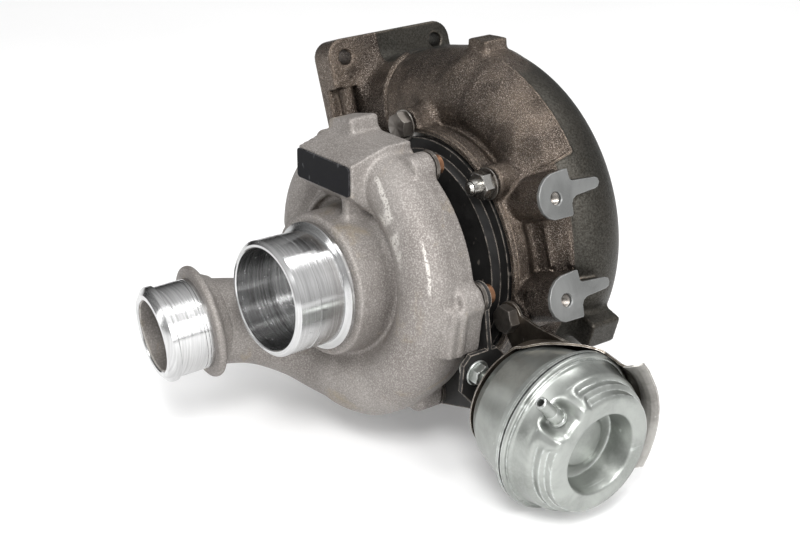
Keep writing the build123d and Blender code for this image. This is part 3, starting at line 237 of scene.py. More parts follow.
def drum(start, end, radius, rounding=0.8):
    """Cylinder with rounded rims between two points."""
    start, end = Vector(start), Vector(end)
    axis, length = (end - start).normalized(), (end - start).length

    def distance(x, y, z):
        along, out = round_parts(x, y, z, start, axis)
        past_end = abs(along - length / 2) - (length / 2 - rounding)
        return corner_distance(out - (radius - rounding), past_end) - rounding

    return distance


def rod(start, end, thick, thin=None):
    """Bar with round ends whose radius may change along it."""
    start, end = Vector(start), Vector(end)
    thin = thick if thin is None else thin
    span = end - start

    def distance(x, y, z):
        dx, dy, dz = x - start.x, y - start.y, z - start.z
        share = np.clip((dx * span.x + dy * span.y + dz * span.z) / span.length_squared, 0, 1)
        gap = sqrt_sum(dx - span.x * share, dy - span.y * share, dz - span.z * share)
        return gap - (thick + (thin - thick) * share)

    return distance


def scroll(first, last, radius_at, section_at, y_at, extra=None):
    """Spiral passage round the shaft between two angles."""

    def distance(x, y, z):
        angle = np.degrees(np.arctan2(x, z))
        middle = (first + last) / 2
        angle = (angle - middle + 180) % 360 - 180 + middle
        angle = np.clip(angle, first, last)
        ring, size = radius_at(angle), section_at(angle)
        turn = np.radians(angle)
        cx, cz = ring * np.sin(turn), ring * np.cos(turn)
        if extra is not None:
            size = size + extra(angle, np.sqrt(x * x + z * z) - ring, y - y_at(angle))
        return sqrt_sum(x - cx, y - y_at(angle), z - cz) - size

    return distance


def through(points, radii, count):
    """Smooth run of centres and radii through a few stops."""
    points = [Vector(p) for p in points]
    stops = [points[0] * 2 - points[1], *points, points[-1] * 2 - points[-2]]
    sizes = [radii[0], *radii, radii[-1]]
    out = []
    for k in range(1, len(stops) - 2):
        for step in range(count):
            t = step / count
            weights = (
                -0.5 * t + t * t - 0.5 * t**3, 1 - 2.5 * t * t + 1.5 * t**3,
                0.5 * t + 2 * t * t - 1.5 * t**3, -0.5 * t * t + 0.5 * t**3,
            )
            centre = sum((stops[k - 1 + i] * w for i, w in enumerate(weights)), Vector())
            out.append((centre, sum(sizes[k - 1 + i] * w for i, w in enumerate(weights))))
    out.append((points[-1], radii[-1]))
    return out


def pipe(run):
    """Pipe laid through stops of (centre, radius)."""
    bars = [rod(a, b, thick, thin) for (a, thick), (b, thin) in zip(run, run[1:])]
    return lambda x, y, z: reduce(np.minimum, (bar(x, y, z) for bar in bars))


def lay_pipe(casting, run, blend, margin=14):
    """Adds a pipe to a casting with one blend for the whole."""
    low = np.array([min(c[i] - r for c, r in run) for i in range(3)]) - margin
    high = np.array([max(c[i] + r for c, r in run) for i in range(3)]) + margin
    casting.add(pipe(run), blend, ((low + high) / 2, (high - low).max() / 2))


def ring_bead(centre, axis, radius, thick):
    """Round bead bent into a ring."""
    centre, axis = Vector(centre), Vector(axis)

    def distance(x, y, z):
        along, out = round_parts(x, y, z, centre, axis)
        return sqrt_sum(out - radius, along) - thick

    return distance


def rounded_plate(centre, axes, half, corner, half_thick, rounding):
    """Plate with round corners and rounded edges."""

    def distance(x, y, z):
        u, v, w = local(x, y, z, centre, axes)
        qu, qv = abs(u) - (half[0] - corner), abs(v) - (half[1] - corner)
        flat = corner_distance(qu, qv) - corner
        return corner_distance(flat + rounding, abs(w) - half_thick + rounding) - rounding

    return distance


def drums(act, circle, angles, first, last, radius, rounding, blend, near):
    """Adds or cuts drums that stand on a circle round the shaft; near is the y and the reach of each."""
    for angle in angles:
        shape = drum(polar(circle, angle, first), polar(circle, angle, last), radius, rounding)
        act(shape, blend, (polar(circle, angle, near[0]), near[1]))


def blocks(casting, stubs):
    """Adds blocks round the shaft: the radius, angle, y, half sizes, rounding, blend and reach of each."""
    for radius, angle, y, half, rounding, blend, reach in stubs:
        place = polar(radius, angle, y)
        casting.add(block(place, seat_axes(angle), half, rounding), blend, (place, reach))


def seat_axes(angle):
    return (polar(1, angle), SIDE, polar(1, angle + 90))


# ---------- compressor housing
COVER_FIRST, COVER_SWEEP = -80, 285
COVER_REAR = 76.5
PIPE_WALL = 4


def cover_radius(angle):
    return 59.0 - 4.0 * (angle - COVER_FIRST) / COVER_SWEEP


def cover_section(angle):
    return 11.0 + 9.0 * (angle - COVER_FIRST) / COVER_SWEEP


def cover_y(angle):
    return COVER_REAR - cover_section(angle)


def compressor_casting():
    step = 0.95
    body = Casting((-94, -4, -80), (82, 82, 85), step)
    body.add(turned((0, 58), (52, 58), (64, 65), (69.6, 69.5), (70, 70.5), (70, 77.6), (69.6, 78), (0, 78)))
    body.add(scroll(COVER_FIRST, 180, cover_radius, cover_section, cover_y), 7)
    foot = polar(cover_radius(180), 180, cover_y(180))
    neck_back = OUTLET_MOUTH - OUTLET_AXIS * 27
    run = through(
        [polar(cover_radius(165), 165, cover_y(165)), foot,
         (-22, 56, -54), (-41, 47, -46.5), (-53, 27, -37), neck_back],
        [cover_section(165), cover_section(180), 20.6, 21.6, 22.5, 23.0], 6,
    )
    lay_pipe(body, run, 5)
    # inlet boss with its deep fillet, and the crease round it
    body.add(drum((0, 32.4, 0), (0, 62, 0), 37.2, 1.4), 7)
    body.add(ring_bead((0, 54.6, 0), (0, 1, 0), 44.2, 1.5), 3.0)
    # screw lugs, top block, ribbed pad at the side
    drums(body.add, SCREW_CIRCLE, SCREW_ANGLES, 64.5, 78, 8.2, 1.6, 2.4, (70, 20))
    blocks(body, ((72, -13, 69, (8.5, 9, 10), 1.8, 3.5, 26), (70, 98, 68, (6.5, 10, 13), 1.5, 3.5, 28)))
    for y, height in ((60.2, 75.6), (65.2, 76.8)):
        body.add(rod(polar(height, 91, y), polar(height, 106, y), 1.9), 2.2, (polar(height, 98, y), 24))
    # nameplate boss with its roof, and the web under it
    roof = [(40.0, 50), (40.0, 66.4), (62, 72.6), (77.6, 72.6), (77.6, 40), (52, 40)]

    def wedge(x, y, z):
        flat = polygon_distance(y, z, roof)
        return np.maximum(flat, abs(x + 3) - 22.6)

    body.add(wedge, 2.2, ((-3, 58, 56), 40))
    body.add(block((9, 49, 42), AXES, (2.4, 6, 9), 1.2), 3, ((9, 49, 42), 26))
    # bores: the turned necks stand in them
    body.cut(drum((0, 20, 0), (0, 90, 0), 27.6, 0.1))
    body.cut(turned((0, 70.3), (56, 70.3), (56, 73.9), (62.6, 73.9), (62.6, 90), (0, 90)))
    body.cut(drum(OUTLET_MOUTH, OUTLET_MOUTH - OUTLET_AXIS * 34, 19.6, 0.1), 0,
             (OUTLET_MOUTH - OUTLET_AXIS * 17, 40))
    body.cut(pipe([(centre, size - PIPE_WALL) for centre, size in run]))
    drums(body.cut, SCREW_CIRCLE, SCREW_ANGLES, 68, 82, 3.05, 0.1, 0, (74, 14))
    return body.mesh("compressor_casting")


# ---------- turned, pressed and hexagonal pieces
def spin_axes(axis):
    """An axis and two directions across it."""
    axis = Vector(axis).normalized()
    across = Vector((0, 0, 1)) if abs(axis.z) < 0.9 else Vector((0, 1, 0))
    first = (across - axis * across.dot(axis)).normalized()
    return axis, first, axis.cross(first)


def mesh_from(work, name, sharp=30):
    """Mesh from a bmesh, smooth but for the edges sharper than an angle in degrees."""
    data = bpy.data.meshes.new(name)
    work.to_mesh(data)
    work.free()
    data.shade_smooth()
    data.set_sharp_from_angle(angle=radians(sharp))
    return data


def strip(work, a, b, closed=True):
    """Faces between two rows of corners."""
    sides = list(zip(around(a), around(b)))
    for (a1, a2), (b1, b2) in sides if closed else sides[:-1]:
        work.faces.new((a1, a2, b2, b1))


def grid_mesh(name, rows, closed_rows=True, closed_profile=False, sharp=30):
    """Mesh from rows of points: one row for each place round the piece."""
    work = bmesh.new()
    grid = [[work.verts.new(p * MM) for p in row] for row in rows]
    for a, b in around(grid) if closed_rows else zip(grid, grid[1:]):
        strip(work, a, b, closed_profile)
    bmesh.ops.remove_doubles(work, verts=work.verts, dist=1e-6)
    bmesh.ops.dissolve_degenerate(work, edges=work.edges, dist=1e-7)
    bmesh.ops.recalc_face_normals(work, faces=work.faces)
    return mesh_from(work, name, sharp)


def lathe(name, origin, axis, profile, closed=True, segments=144, sharp=30, shape=None):
    """Body turned about an axis; the profile is (distance along it, radius). shape may bend radii."""
    axis, first, second = spin_axes(axis)
    rows = []
    for k in range(segments):
        turn = 2 * pi * k / segments
        out = first * cos(turn) + second * sin(turn)
        row = profile if shape is None else shape(turn)
        rows.append([Vector(origin) + axis * along + out * radius for along, radius in row])
    return grid_mesh(name, rows, True, closed, sharp)


def join(name, meshes):
    """One mesh object from several meshes."""
    work = bmesh.new()
    for data in meshes:
        work.from_mesh(data)
    for data in meshes:
        bpy.data.meshes.remove(data)
    return put(name, mesh_from(work, name))


HEXAGON_SIDES = 72


def hexagon_head(origin, axis, across, height, chamfer=0.9, bore=0.0, turn=0.0, both=False):
    """Hexagon with its corners turned off, on one or both faces, standing on origin along axis."""
    apothem = across / 2
    axis, first, second = spin_axes(axis)
    slope = tan(radians(28))
    levels = [0.0, height * 0.5]
    levels += [height - chamfer * s for s in (1.3, 1.0, 0.75, 0.5, 0.25, 0.0)]
    if both:
        levels = [height - level for level in reversed(levels[2:])] + levels[1:]
    rows = []
    for k in range(HEXAGON_SIDES):
        angle = 2 * pi * k / HEXAGON_SIDES
        out = first * cos(angle + turn) + second * sin(angle + turn)
        flat = apothem / cos((angle + pi / 6) % (pi / 3) - pi / 6)
        row = []
        for level in levels:
            top = height - level
            cone = apothem * 0.97 + top / slope
            if both:
                cone = min(cone, apothem * 0.97 + level / slope)
            row.append(axis * level + out * min(flat, cone))
        if bore:
            row = [out * bore, *row, axis * height + out * bore]
        else:
            row = [Vector(), *row, axis * height]
        rows.append([Vector(origin) + p for p in row])
    return grid_mesh("hexagon", rows, True, bool(bore), 25)


def washer(origin, axis, outer, inner, thickness, edge):
    profile = [
        (0, inner), (0, outer - edge), (edge, outer), (thickness - edge, outer), (thickness, outer - edge),
        (thickness, inner),
    ]
    return lathe("washer", origin, axis, profile, True, 72)


# ---------- materials
class Nodes:
    """Short hand for the nodes of a material, or of the world."""

    def __init__(self, name, data=bpy.data.materials, shader="Principled BSDF"):
        self.owner = data.new(name)
        self.owner.use_nodes = True
        self.tree = self.owner.node_tree
        self.shader = self.tree.nodes[shader]
        self.at = self.new("ShaderNodeTexCoord").outputs["Object"]
        self.tone = self.normal = None

    def new(self, kind, **inputs):
        node = self.tree.nodes.new(kind)
        for key, value in inputs.items():
            self.set(node, key, value)
        return node

    def set(self, node, key, value):
        """Links or sets an input, found by its name or, as i0, i1 and so on, by its place."""
        socket = node.inputs[int(key[1:])] if key[0] == "i" and key[1:].isdigit() else node.inputs[key]
        if isinstance(value, bpy.types.NodeSocket):
            self.tree.links.new(value, socket)
        else:
            socket.default_value = value

    def noise(self, scale, detail=4.0, rough=0.55, stretch=None, warp=0.0):
        at = self.new("ShaderNodeMapping", Vector=self.at, Scale=stretch).outputs[0] if stretch else self.at
        sizes = {"Scale": scale, "Detail": detail, "Roughness": rough, "Distortion": warp}
        return self.new("ShaderNodeTexNoise", Vector=at, **sizes).outputs["Fac"]

    def math(self, kind, *values):
        node = self.new("ShaderNodeMath", **{f"i{index}": value for index, value in enumerate(values)})
        node.operation = kind
        return node.outputs[0]

    def times(self, a, b):
        return self.math("MULTIPLY", a, b)

    def dot(self, a, b):
        node = self.new("ShaderNodeVectorMath", i0=a, i1=b)
        node.operation = "DOT_PRODUCT"
        return node.outputs["Value"]

    def span(self, value, low, high, to_low=0.0, to_high=1.0, kind="SMOOTHSTEP"):
        """Ramp of a value between two limits."""
        ends = {"From Min": low, "From Max": high, "To Min": to_low, "To Max": to_high}
        node = self.new("ShaderNodeMapRange", Value=value, **ends)
        node.interpolation_type = kind
        return node.outputs[0]

    def mix(self, share, a, b):
        node = self.new("ShaderNodeMix", i0=share)
        node.data_type = "RGBA"
        for key, tone in (("i6", a), ("i7", b)):
            self.set(node, key, tone if isinstance(tone, bpy.types.NodeSocket) else (*tone, 1))
        return node.outputs[2]

    def tint(self, share, tone):
        """Mixes a tone, in screen values, into the material's colour."""
        self.tone = self.mix(share, self.tone, linear(*tone))

    def bump(self, height, strength, distance):
        """Adds a bump to the material's normal."""
        node = self.new("ShaderNodeBump", Strength=strength, Distance=distance, Height=height)
        if self.normal is not None:
            self.set(node, "Normal", self.normal)
        self.normal = node.outputs[0]

    def edges(self, radius):
        """1 along convex edges, 0 on open faces."""
        node = self.new("ShaderNodeBevel", Radius=radius)
        node.samples = 4
        normal = self.new("ShaderNodeNewGeometry").outputs["Normal"]
        return self.span(self.dot(node.outputs[0], normal), 0.995, 0.85)

    def axis_parts(self):
        return self.new("ShaderNodeSeparateXYZ", Vector=self.at).outputs

    def radius(self):
        """Distance from the shaft."""
        x, _, z = self.axis_parts()
        return self.math("SQRT", self.math("ADD", self.times(x, x), self.times(z, z)))

    def finish(self, rough, metal, **fixed):
        sockets = ("Base Color", self.tone), ("Roughness", rough), ("Metallic", metal), ("Normal", self.normal)
        for key, value in sockets:
            if value is not None:
                self.set(self.shader, key, value)
        for key, value in fixed.items():
            self.shader.inputs[key.replace("_", " ")].default_value = value
        return self.owner


def linear(r, g, b):
    """Scene-linear colour from 0 to 255 screen values."""
    return tuple(((c / 255 + 0.055) / 1.055) ** 2.4 if c > 10 else c / 3295 for c in (r, g, b))


def cast_aluminium():
    m = Nodes("cast_aluminium")
    grain = m.noise(1250, 2, 0.6)
    sand = m.noise(520, 4, 0.7)
    broad = m.noise(24, 4, 0.6)
    m.tone = m.mix(m.span(broad, 0.3, 0.7), linear(112, 106, 102), linear(134, 129, 125))
    m.tint(m.span(grain, 0.4, 0.75, 0.0, 0.5), (190, 186, 181))
    m.tint(m.span(m.noise(800, 3, 0.7), 0.55, 0.8, 0.0, 0.6), (94, 88, 84))
    stain = m.times(m.span(m.noise(34, 5, 0.65, warp=0.6), 0.56, 0.72), 0.45)
    m.tint(stain, (146, 130, 100))
    x, y, z = m.axis_parts()
    # bright streaks where the parting flash was ground off the scroll's crest: the y of each at one
    # radian round the shaft, how much it leans, and the angles where it begins and ends
    angle = m.math("ARCTAN2", x, z)
    ragged = m.span(m.noise(900, 3, 0.7), 0.4, 0.5)
    wander = m.times(m.math("SUBTRACT", m.noise(120, 2), 0.5), 0.0016)
    outer = m.span(m.radius(), 0.050, 0.056)
    streaks = None
    for place, lean, begin, end in (
        (0.0445, 0.010, 0.38, 0.80), (0.0455, 0.006, 0.86, 1.40), (0.0525, 0.004, 1.0, 1.42),
    ):
        centre = m.math("MULTIPLY_ADD", m.math("SUBTRACT", angle, 1.0), -lean, place)
        off = m.math("ABSOLUTE", m.math("ADD", m.math("SUBTRACT", y, centre), wander))
        line = m.span(off, 0.0010, 0.0003)
        line = m.times(line, m.span(angle, begin, begin + 0.05))
        line = m.times(line, m.span(angle, end, end - 0.05))
        line = m.times(line, outer)
        streaks = line if streaks is None else m.math("MAXIMUM", streaks, line)
    streaks = m.times(streaks, ragged)
    m.tint(m.times(streaks, 0.5), (232, 228, 222))
    # painted highlight along convex edges where they catch the light, partly real edge wear
    wear_and_edge_highlight = m.times(m.edges(0.0012), m.span(m.noise(160, 3), 0.35, 0.55))
    m.tint(m.times(wear_and_edge_highlight, 0.6), (226, 222, 216))
    m.bump(grain, 0.55, 0.00030)
    m.bump(sand, 0.55, 0.00045)
    m.bump(m.noise(110, 3), 0.3, 0.0006)
    rough = m.span(sand, 0.3, 0.7, 0.5, 0.64)
    return m.finish(rough, 0.45, Specular_IOR_Level=0.4)


def turned_aluminium():
    m = Nodes("turned_aluminium")
    rings = m.noise(30, 3, 0.6, stretch=(1, 40, 1))
    fine = m.noise(300, 2, 0.5, stretch=(0.15, 12, 0.15))
    scuff = m.noise(90, 5, 0.7, warp=1.0)
    m.tone = m.mix(m.span(rings, 0.3, 0.7), linear(184, 184, 184), linear(208, 208, 208))
    m.tint(m.span(scuff, 0.62, 0.75, 0.0, 0.2), (170, 168, 166))
    nick = m.span(m.noise(420, 2, 0.5, stretch=(1, 0.2, 1)), 0.72, 0.76, 0.0, 0.5)
    m.tint(nick, (90, 90, 90))
    rough = m.math("ADD", m.span(rings, 0.3, 0.7, 0.17, 0.24), m.span(scuff, 0.5, 0.75, 0.0, 0.08))
    m.bump(fine, 0.06, 0.00004)
    grooves = m.new("ShaderNodeTangent")
    grooves.direction_type, grooves.axis = "RADIAL", "Y"
    m.set(m.shader, "Tangent", grooves.outputs[0])
    return m.finish(rough, 1.0, Anisotropic=0.75, Anisotropic_Rotation=0.25)


def cast_iron():
    m = Nodes("cast_iron")
    grain = m.noise(1900, 2, 0.65)
    grit = m.noise(1000, 4, 0.75)
    broad = m.noise(30, 5, 0.6, warp=0.4)
    m.tone = m.mix(m.span(broad, 0.35, 0.65), linear(52, 45, 40), linear(88, 78, 69))
    # bright specks on the grain: partly the casting's own grain, partly a painted glint standing in for sparkle
    m.tint(m.span(grain, 0.50, 0.70, 0.0, 0.62), (190, 178, 168))
    m.tint(m.span(m.noise(60, 5), 0.5, 0.7, 0.0, 0.55), (36, 31, 28))
    rust = m.span(m.noise(44, 5, 0.7, warp=0.8), 0.62, 0.74, 0.0, 0.4)
    m.tint(rust, (92, 68, 44))
    x, y, z = m.axis_parts()
    # the smooth band starts behind the ridge, and lower down behind the patch between the pads
    start = m.span(m.math("ARCTAN2", x, z), 0.79, 0.81, 0.1432, 0.1338)
    band = m.times(m.span(m.math("SUBTRACT", y, start), 0.0, 0.001), m.span(m.radius(), 0.062, 0.070))
    band = m.times(band, m.span(z, 0.1000, 0.0960))
    smooth_tone = m.mix(m.span(m.noise(900, 4), 0.35, 0.65), linear(44, 43, 39), linear(66, 65, 61))
    m.tone = m.mix(m.times(band, 0.9), m.tone, smooth_tone)
    # painted highlight along convex edges and ridges where they catch the light, partly real edge wear
    wear_and_edge_highlight = m.times(m.edges(0.0016), m.span(m.noise(220, 3), 0.3, 0.5))
    m.tint(m.times(wear_and_edge_highlight, 0.8), (176, 160, 144))
    deep = m.math("SUBTRACT", 1.0, m.times(band, 0.7))
    height = m.math("ADD", m.times(grain, 0.6), m.times(grit, 0.7))
    m.bump(m.times(height, deep), 1.0, 0.0006)
    m.bump(m.noise(140, 3), 0.3, 0.0008)
    rough = m.math("ADD", m.span(grit, 0.3, 0.7, 0.24, 0.38), m.times(band, 0.16))
    return m.finish(rough, 0.9, Specular_IOR_Level=0.3)


def plain_metal(
    name, dark, light, bright, rough, metal, grain=900, depth=0.00006, edge=0.5, shine=0.5, edge_highlight_and_wear_at=0.0006,
):
    """Metal with fine grain, cloudy tone and bright edges, partly wear and partly a painted highlight; the three
    tones are screen values.
    """
    m = Nodes(name)
    grit = m.noise(grain, 4, 0.65)
    cloud = m.noise(50, 4, 0.6, warp=0.5)
    m.tone = m.mix(m.span(cloud, 0.3, 0.7), linear(*dark), linear(*light))
    m.tint(m.span(grit, 0.4, 0.7, 0.0, 0.3), light)
    scratch = m.span(m.noise(260, 2, 0.5, stretch=(1, 0.06, 0.5), warp=0.2), 0.68, 0.74, 0.0, 0.3)
    m.tint(scratch, bright)
    # painted highlight along convex edges, partly real edge wear: a bright tint whose width and strength the
    # arguments give
    wear_and_edge_highlight = m.times(m.edges(edge_highlight_and_wear_at), m.span(m.noise(300, 3), 0.3, 0.6))
    m.tint(m.times(wear_and_edge_highlight, edge), bright)
    m.bump(grit, 0.4, depth)
    m.bump(m.noise(40, 2), 0.2, 0.0004)
    return m.finish(m.span(cloud, 0.3, 0.7, *rough), metal, Specular_IOR_Level=shine)


ALUMINIUM = cast_aluminium()
TURNED = turned_aluminium()
IRON = cast_iron()
MILLED = plain_metal(
    "milled_iron", (104, 105, 104), (124, 125, 124), (190, 190, 190), (0.42, 0.54), 0.6, 1400, 0.00004)
# the zinc's wide bright edges are a painted highlight along the ridges, partly wear
ZINC = plain_metal(
    "zinc_plate", (138, 141, 137), (164, 167, 163), (236, 240, 238), (0.3, 0.42), 0.9, 700, 0.00005, 0.8,
    edge_highlight_and_wear_at=0.0014)
# the black iron's bright rims are a painted highlight where the rims catch the light, partly wear
BLACK = plain_metal(
    "centre_black", (20, 19, 19), (34, 33, 32), (168, 158, 148), (0.5, 0.68), 0.2, 900, 0.0002, 0.9,
    edge_highlight_and_wear_at=0.0010)
DARK = plain_metal("dark_steel", (84, 79, 74), (124, 118, 112), (190, 186, 180), (0.26, 0.4), 0.85, edge=0.7)
BRIGHT = plain_metal(
    "bright_steel", (160, 158, 154), (190, 188, 184), (235, 235, 232), (0.2, 0.34), 1.0, 900, 0.00004)
SHIELD = plain_metal(
    "shield_steel", (74, 66, 58), (112, 104, 94), (226, 220, 212), (0.3, 0.45), 0.9, 800, edge=0.9)
LIP = plain_metal(
    "shield_lip", (112, 109, 105), (158, 156, 152), (235, 232, 226), (0.36, 0.54), 0.7, 800, edge=0.9)
COPPER = plain_metal(
    "copper_plate", (104, 74, 54), (136, 100, 76), (190, 150, 118), (0.34, 0.48), 0.85, 900, 0.00005)
BRONZE = plain_metal(
    "bearing_bronze", (150, 116, 62), (184, 150, 92), (220, 190, 130), (0.3, 0.42), 0.95, 900, 0.00004, 0.4)
ALLOY = plain_metal("heat_alloy", (96, 88, 80), (132, 124, 114), (190, 182, 172), (0.34, 0.5), 0.9)
RUBBER = plain_metal("rubber", (22, 22, 22), (32, 32, 32), (60, 60, 60), (0.6, 0.75), 0.0, edge=0.2)
PLATE = plain_metal(
    "plate_black", (14, 14, 16), (22, 22, 25), (110, 110, 112), (0.55, 0.68), 0.0, 1300, 0.00003, 0.6, 0.12)
MILLED_WHEEL = plain_metal(
    "milled_wheel", (190, 191, 192), (214, 215, 216), (240, 240, 240), (0.2, 0.32), 1.0, 600, 0.00004, 0.4)

SLOT_LOOKS = {
    "compressor_casting": ALUMINIUM, "nameplate": PLATE, "copper_screws": COPPER, "steel": BRIGHT,
    "dark_steel": DARK, "zinc": ZINC, "centre_iron": BLACK, "turbine_iron": IRON, "bronze": BRONZE,
    "rubber": RUBBER, "wheel_aluminium": MILLED_WHEEL, "heat_alloy": ALLOY, "shield_steel": SHIELD,
}
NODE_SLOTS = {row["node"]: row["material_slot"] for row in frame["record"]["subparts"]}


def paint(piece, material):
    piece.data.materials.clear()
    piece.data.materials.append(material)


OWN_LOOKS = {"actuator_bracket": BLACK, "cover_washers": DARK}
for name, piece in nodes.items():
    paint(piece, OWN_LOOKS.get(name, SLOT_LOOKS[NODE_SLOTS[name]]))


def settle(piece, material, slot, *stands_for):
    """Gives a piece its look and the body it rides on, and hides the CAD nodes it stands for. The slot is not
    used.
    """
    paint(piece, material)
    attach(piece, "housings")
    if stands_for:
        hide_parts(*stands_for)


def turn_piece(name, origin, axis, profile, material, slot, *stands_for, segments=144, sharp=30, shape=None):
    """Puts down a piece turned about an axis."""
    data = lathe(name, origin, axis, profile, True, segments, sharp, shape)
    settle(put(name, data), material, slot, *stands_for)


# ---------- compressor housing: casting and turned necks
settle(compressor_casting(), ALUMINIUM, "compressor_casting", "compressor_housing")

INLET_NECK = [
    (0.5, 26.4), (0, 26.9), (0, 28.1), (1.9, 29.95), (12.9, 29.95), (13.1, 29.45), (13.9, 29.45),
    (14.1, 29.8), (28.2, 29.8), (28.9, 30.6), (29.4, 32.6), (29.9, 33.2), (31.7, 33.3), (32.4, 32.8),
    (33.2, 31), (34, 30), (70.3, 29.6), (70.3, 27.4), (67.4, 24.8), (62.4, 22.4), (59, 21.3),
    (56.6, 21), (44, 21), (43, 21.2), (22.6, 26.3), (22, 26.4),
]
OUTLET_NECK = [
    (0.5, 19.5), (0, 20), (0, 22.4), (2.6, 25.6), (3, 25.9), (5.9, 25.9), (6.1, 25.4), (6.6, 24.6),
    (20.6, 24.5), (20.8, 24.1), (21.2, 24.1), (21.4, 24.5), (22.4, 24.5), (22.6, 24.1), (23, 24.1),
    (23.2, 24.5), (26.5, 24.5), (34, 23), (34, 19.5),
]
LINING = [(0.8, 19.5), (1.2, 19.0), (34.0, 19.0), (34.0, 19.6), (0.8, 19.6)]
COLLAR = [
    (25.4, 20), (25.4, 28), (25.6, 29.2), (26.2, 30), (27.1, 30.4), (28.3, 30.4), (29.2, 30),
    (29.9, 29), (30.4, 27.2), (31.6, 25.4), (34, 24.2), (37, 22.6), (37, 20),
]
turn_piece("inlet_neck", (0, 0, 0), SIDE, INLET_NECK, TURNED, "compressor_casting", segments=192)
turn_piece("outlet_neck", OUTLET_MOUTH, -OUTLET_AXIS, OUTLET_NECK, TURNED, "compressor_casting", segments=160)
turn_piece("outlet_lining", OUTLET_MOUTH, -OUTLET_AXIS, LINING, ALUMINIUM, "compressor_casting", segments=96)
turn_piece("outlet_collar", OUTLET_MOUTH, -OUTLET_AXIS, COLLAR, ALUMINIUM, "compressor_casting", sharp=50)


# ---------- turbine housing
SCROLL_FIRST, SCROLL_LAST = -5, 300
SCROLL_WALL = 5


def turbine_share(angle):
    """1 at the scroll's mouth, 0 at its tongue."""
    return 1 - (angle - SCROLL_FIRST) / (SCROLL_LAST - SCROLL_FIRST)


def turbine_radius(angle):
    return 45 + 30 * turbine_share(angle) ** 1.7


def turbine_section(angle):
    return 12 + 17 * turbine_share(angle) ** 0.8


RIDGE_Y = -6.7  # from the scroll's middle plane
PAD_SPOTS = [Vector(mounts[name]["pos_m"]) / MM for name in ("support_pad_upper", "support_pad_lower")]
PADS = [(spot.dot(FLOW_UP), spot.y) for spot in PAD_SPOTS]  # the height and the y of each
PAD_FACE = PAD_SPOTS[0].dot(FLOW) + 1
PAD_LOW, PAD_HIGH = 45.0, PAD_FACE - 0.7
PAD_OUTLINE = [
    (10.6, 13), (9, 13.2), (-0.5, 12.4), (-4.6, 10.8), (-8.2, 7.6), (-10.6, 3), (-11, -1.6),
    (-9.6, -5.8), (-6.8, -8.8), (-3.2, -10.4), (8.6, -10.6), (9.4, -9.8), (9.8, -4.6), (11.2, -2.4),
    (13.6, -1.2), (26.8, -0.3), (28.8, 0.5), (30, 2.4), (29.6, 4.4), (27.6, 5.4), (12.4, 6.6),
    (11.2, 7.4), (10.9, 9),
]


def raised_front(angle, outward, across):
    """The grainy front of the scroll stands proud of the band behind it, with a bead along its edge."""
    here = np.clip((angle - 2) / 3, 0, 1) * np.clip((46.0 - angle) / 1.2, 0, 1)
    step = np.clip((RIDGE_Y - across) / 0.7 + 0.5, 0, 1)
    bead = np.exp(-((across - RIDGE_Y + 0.7) / 0.75) ** 2)
    end_bead = np.exp(-((angle - 45.2) / 0.55) ** 2) * step
    outside = np.clip((outward + 4) / 4, 0, 1)
    return (0.9 * here * step + 0.7 * here * bead + 0.6 * end_bead) * outside


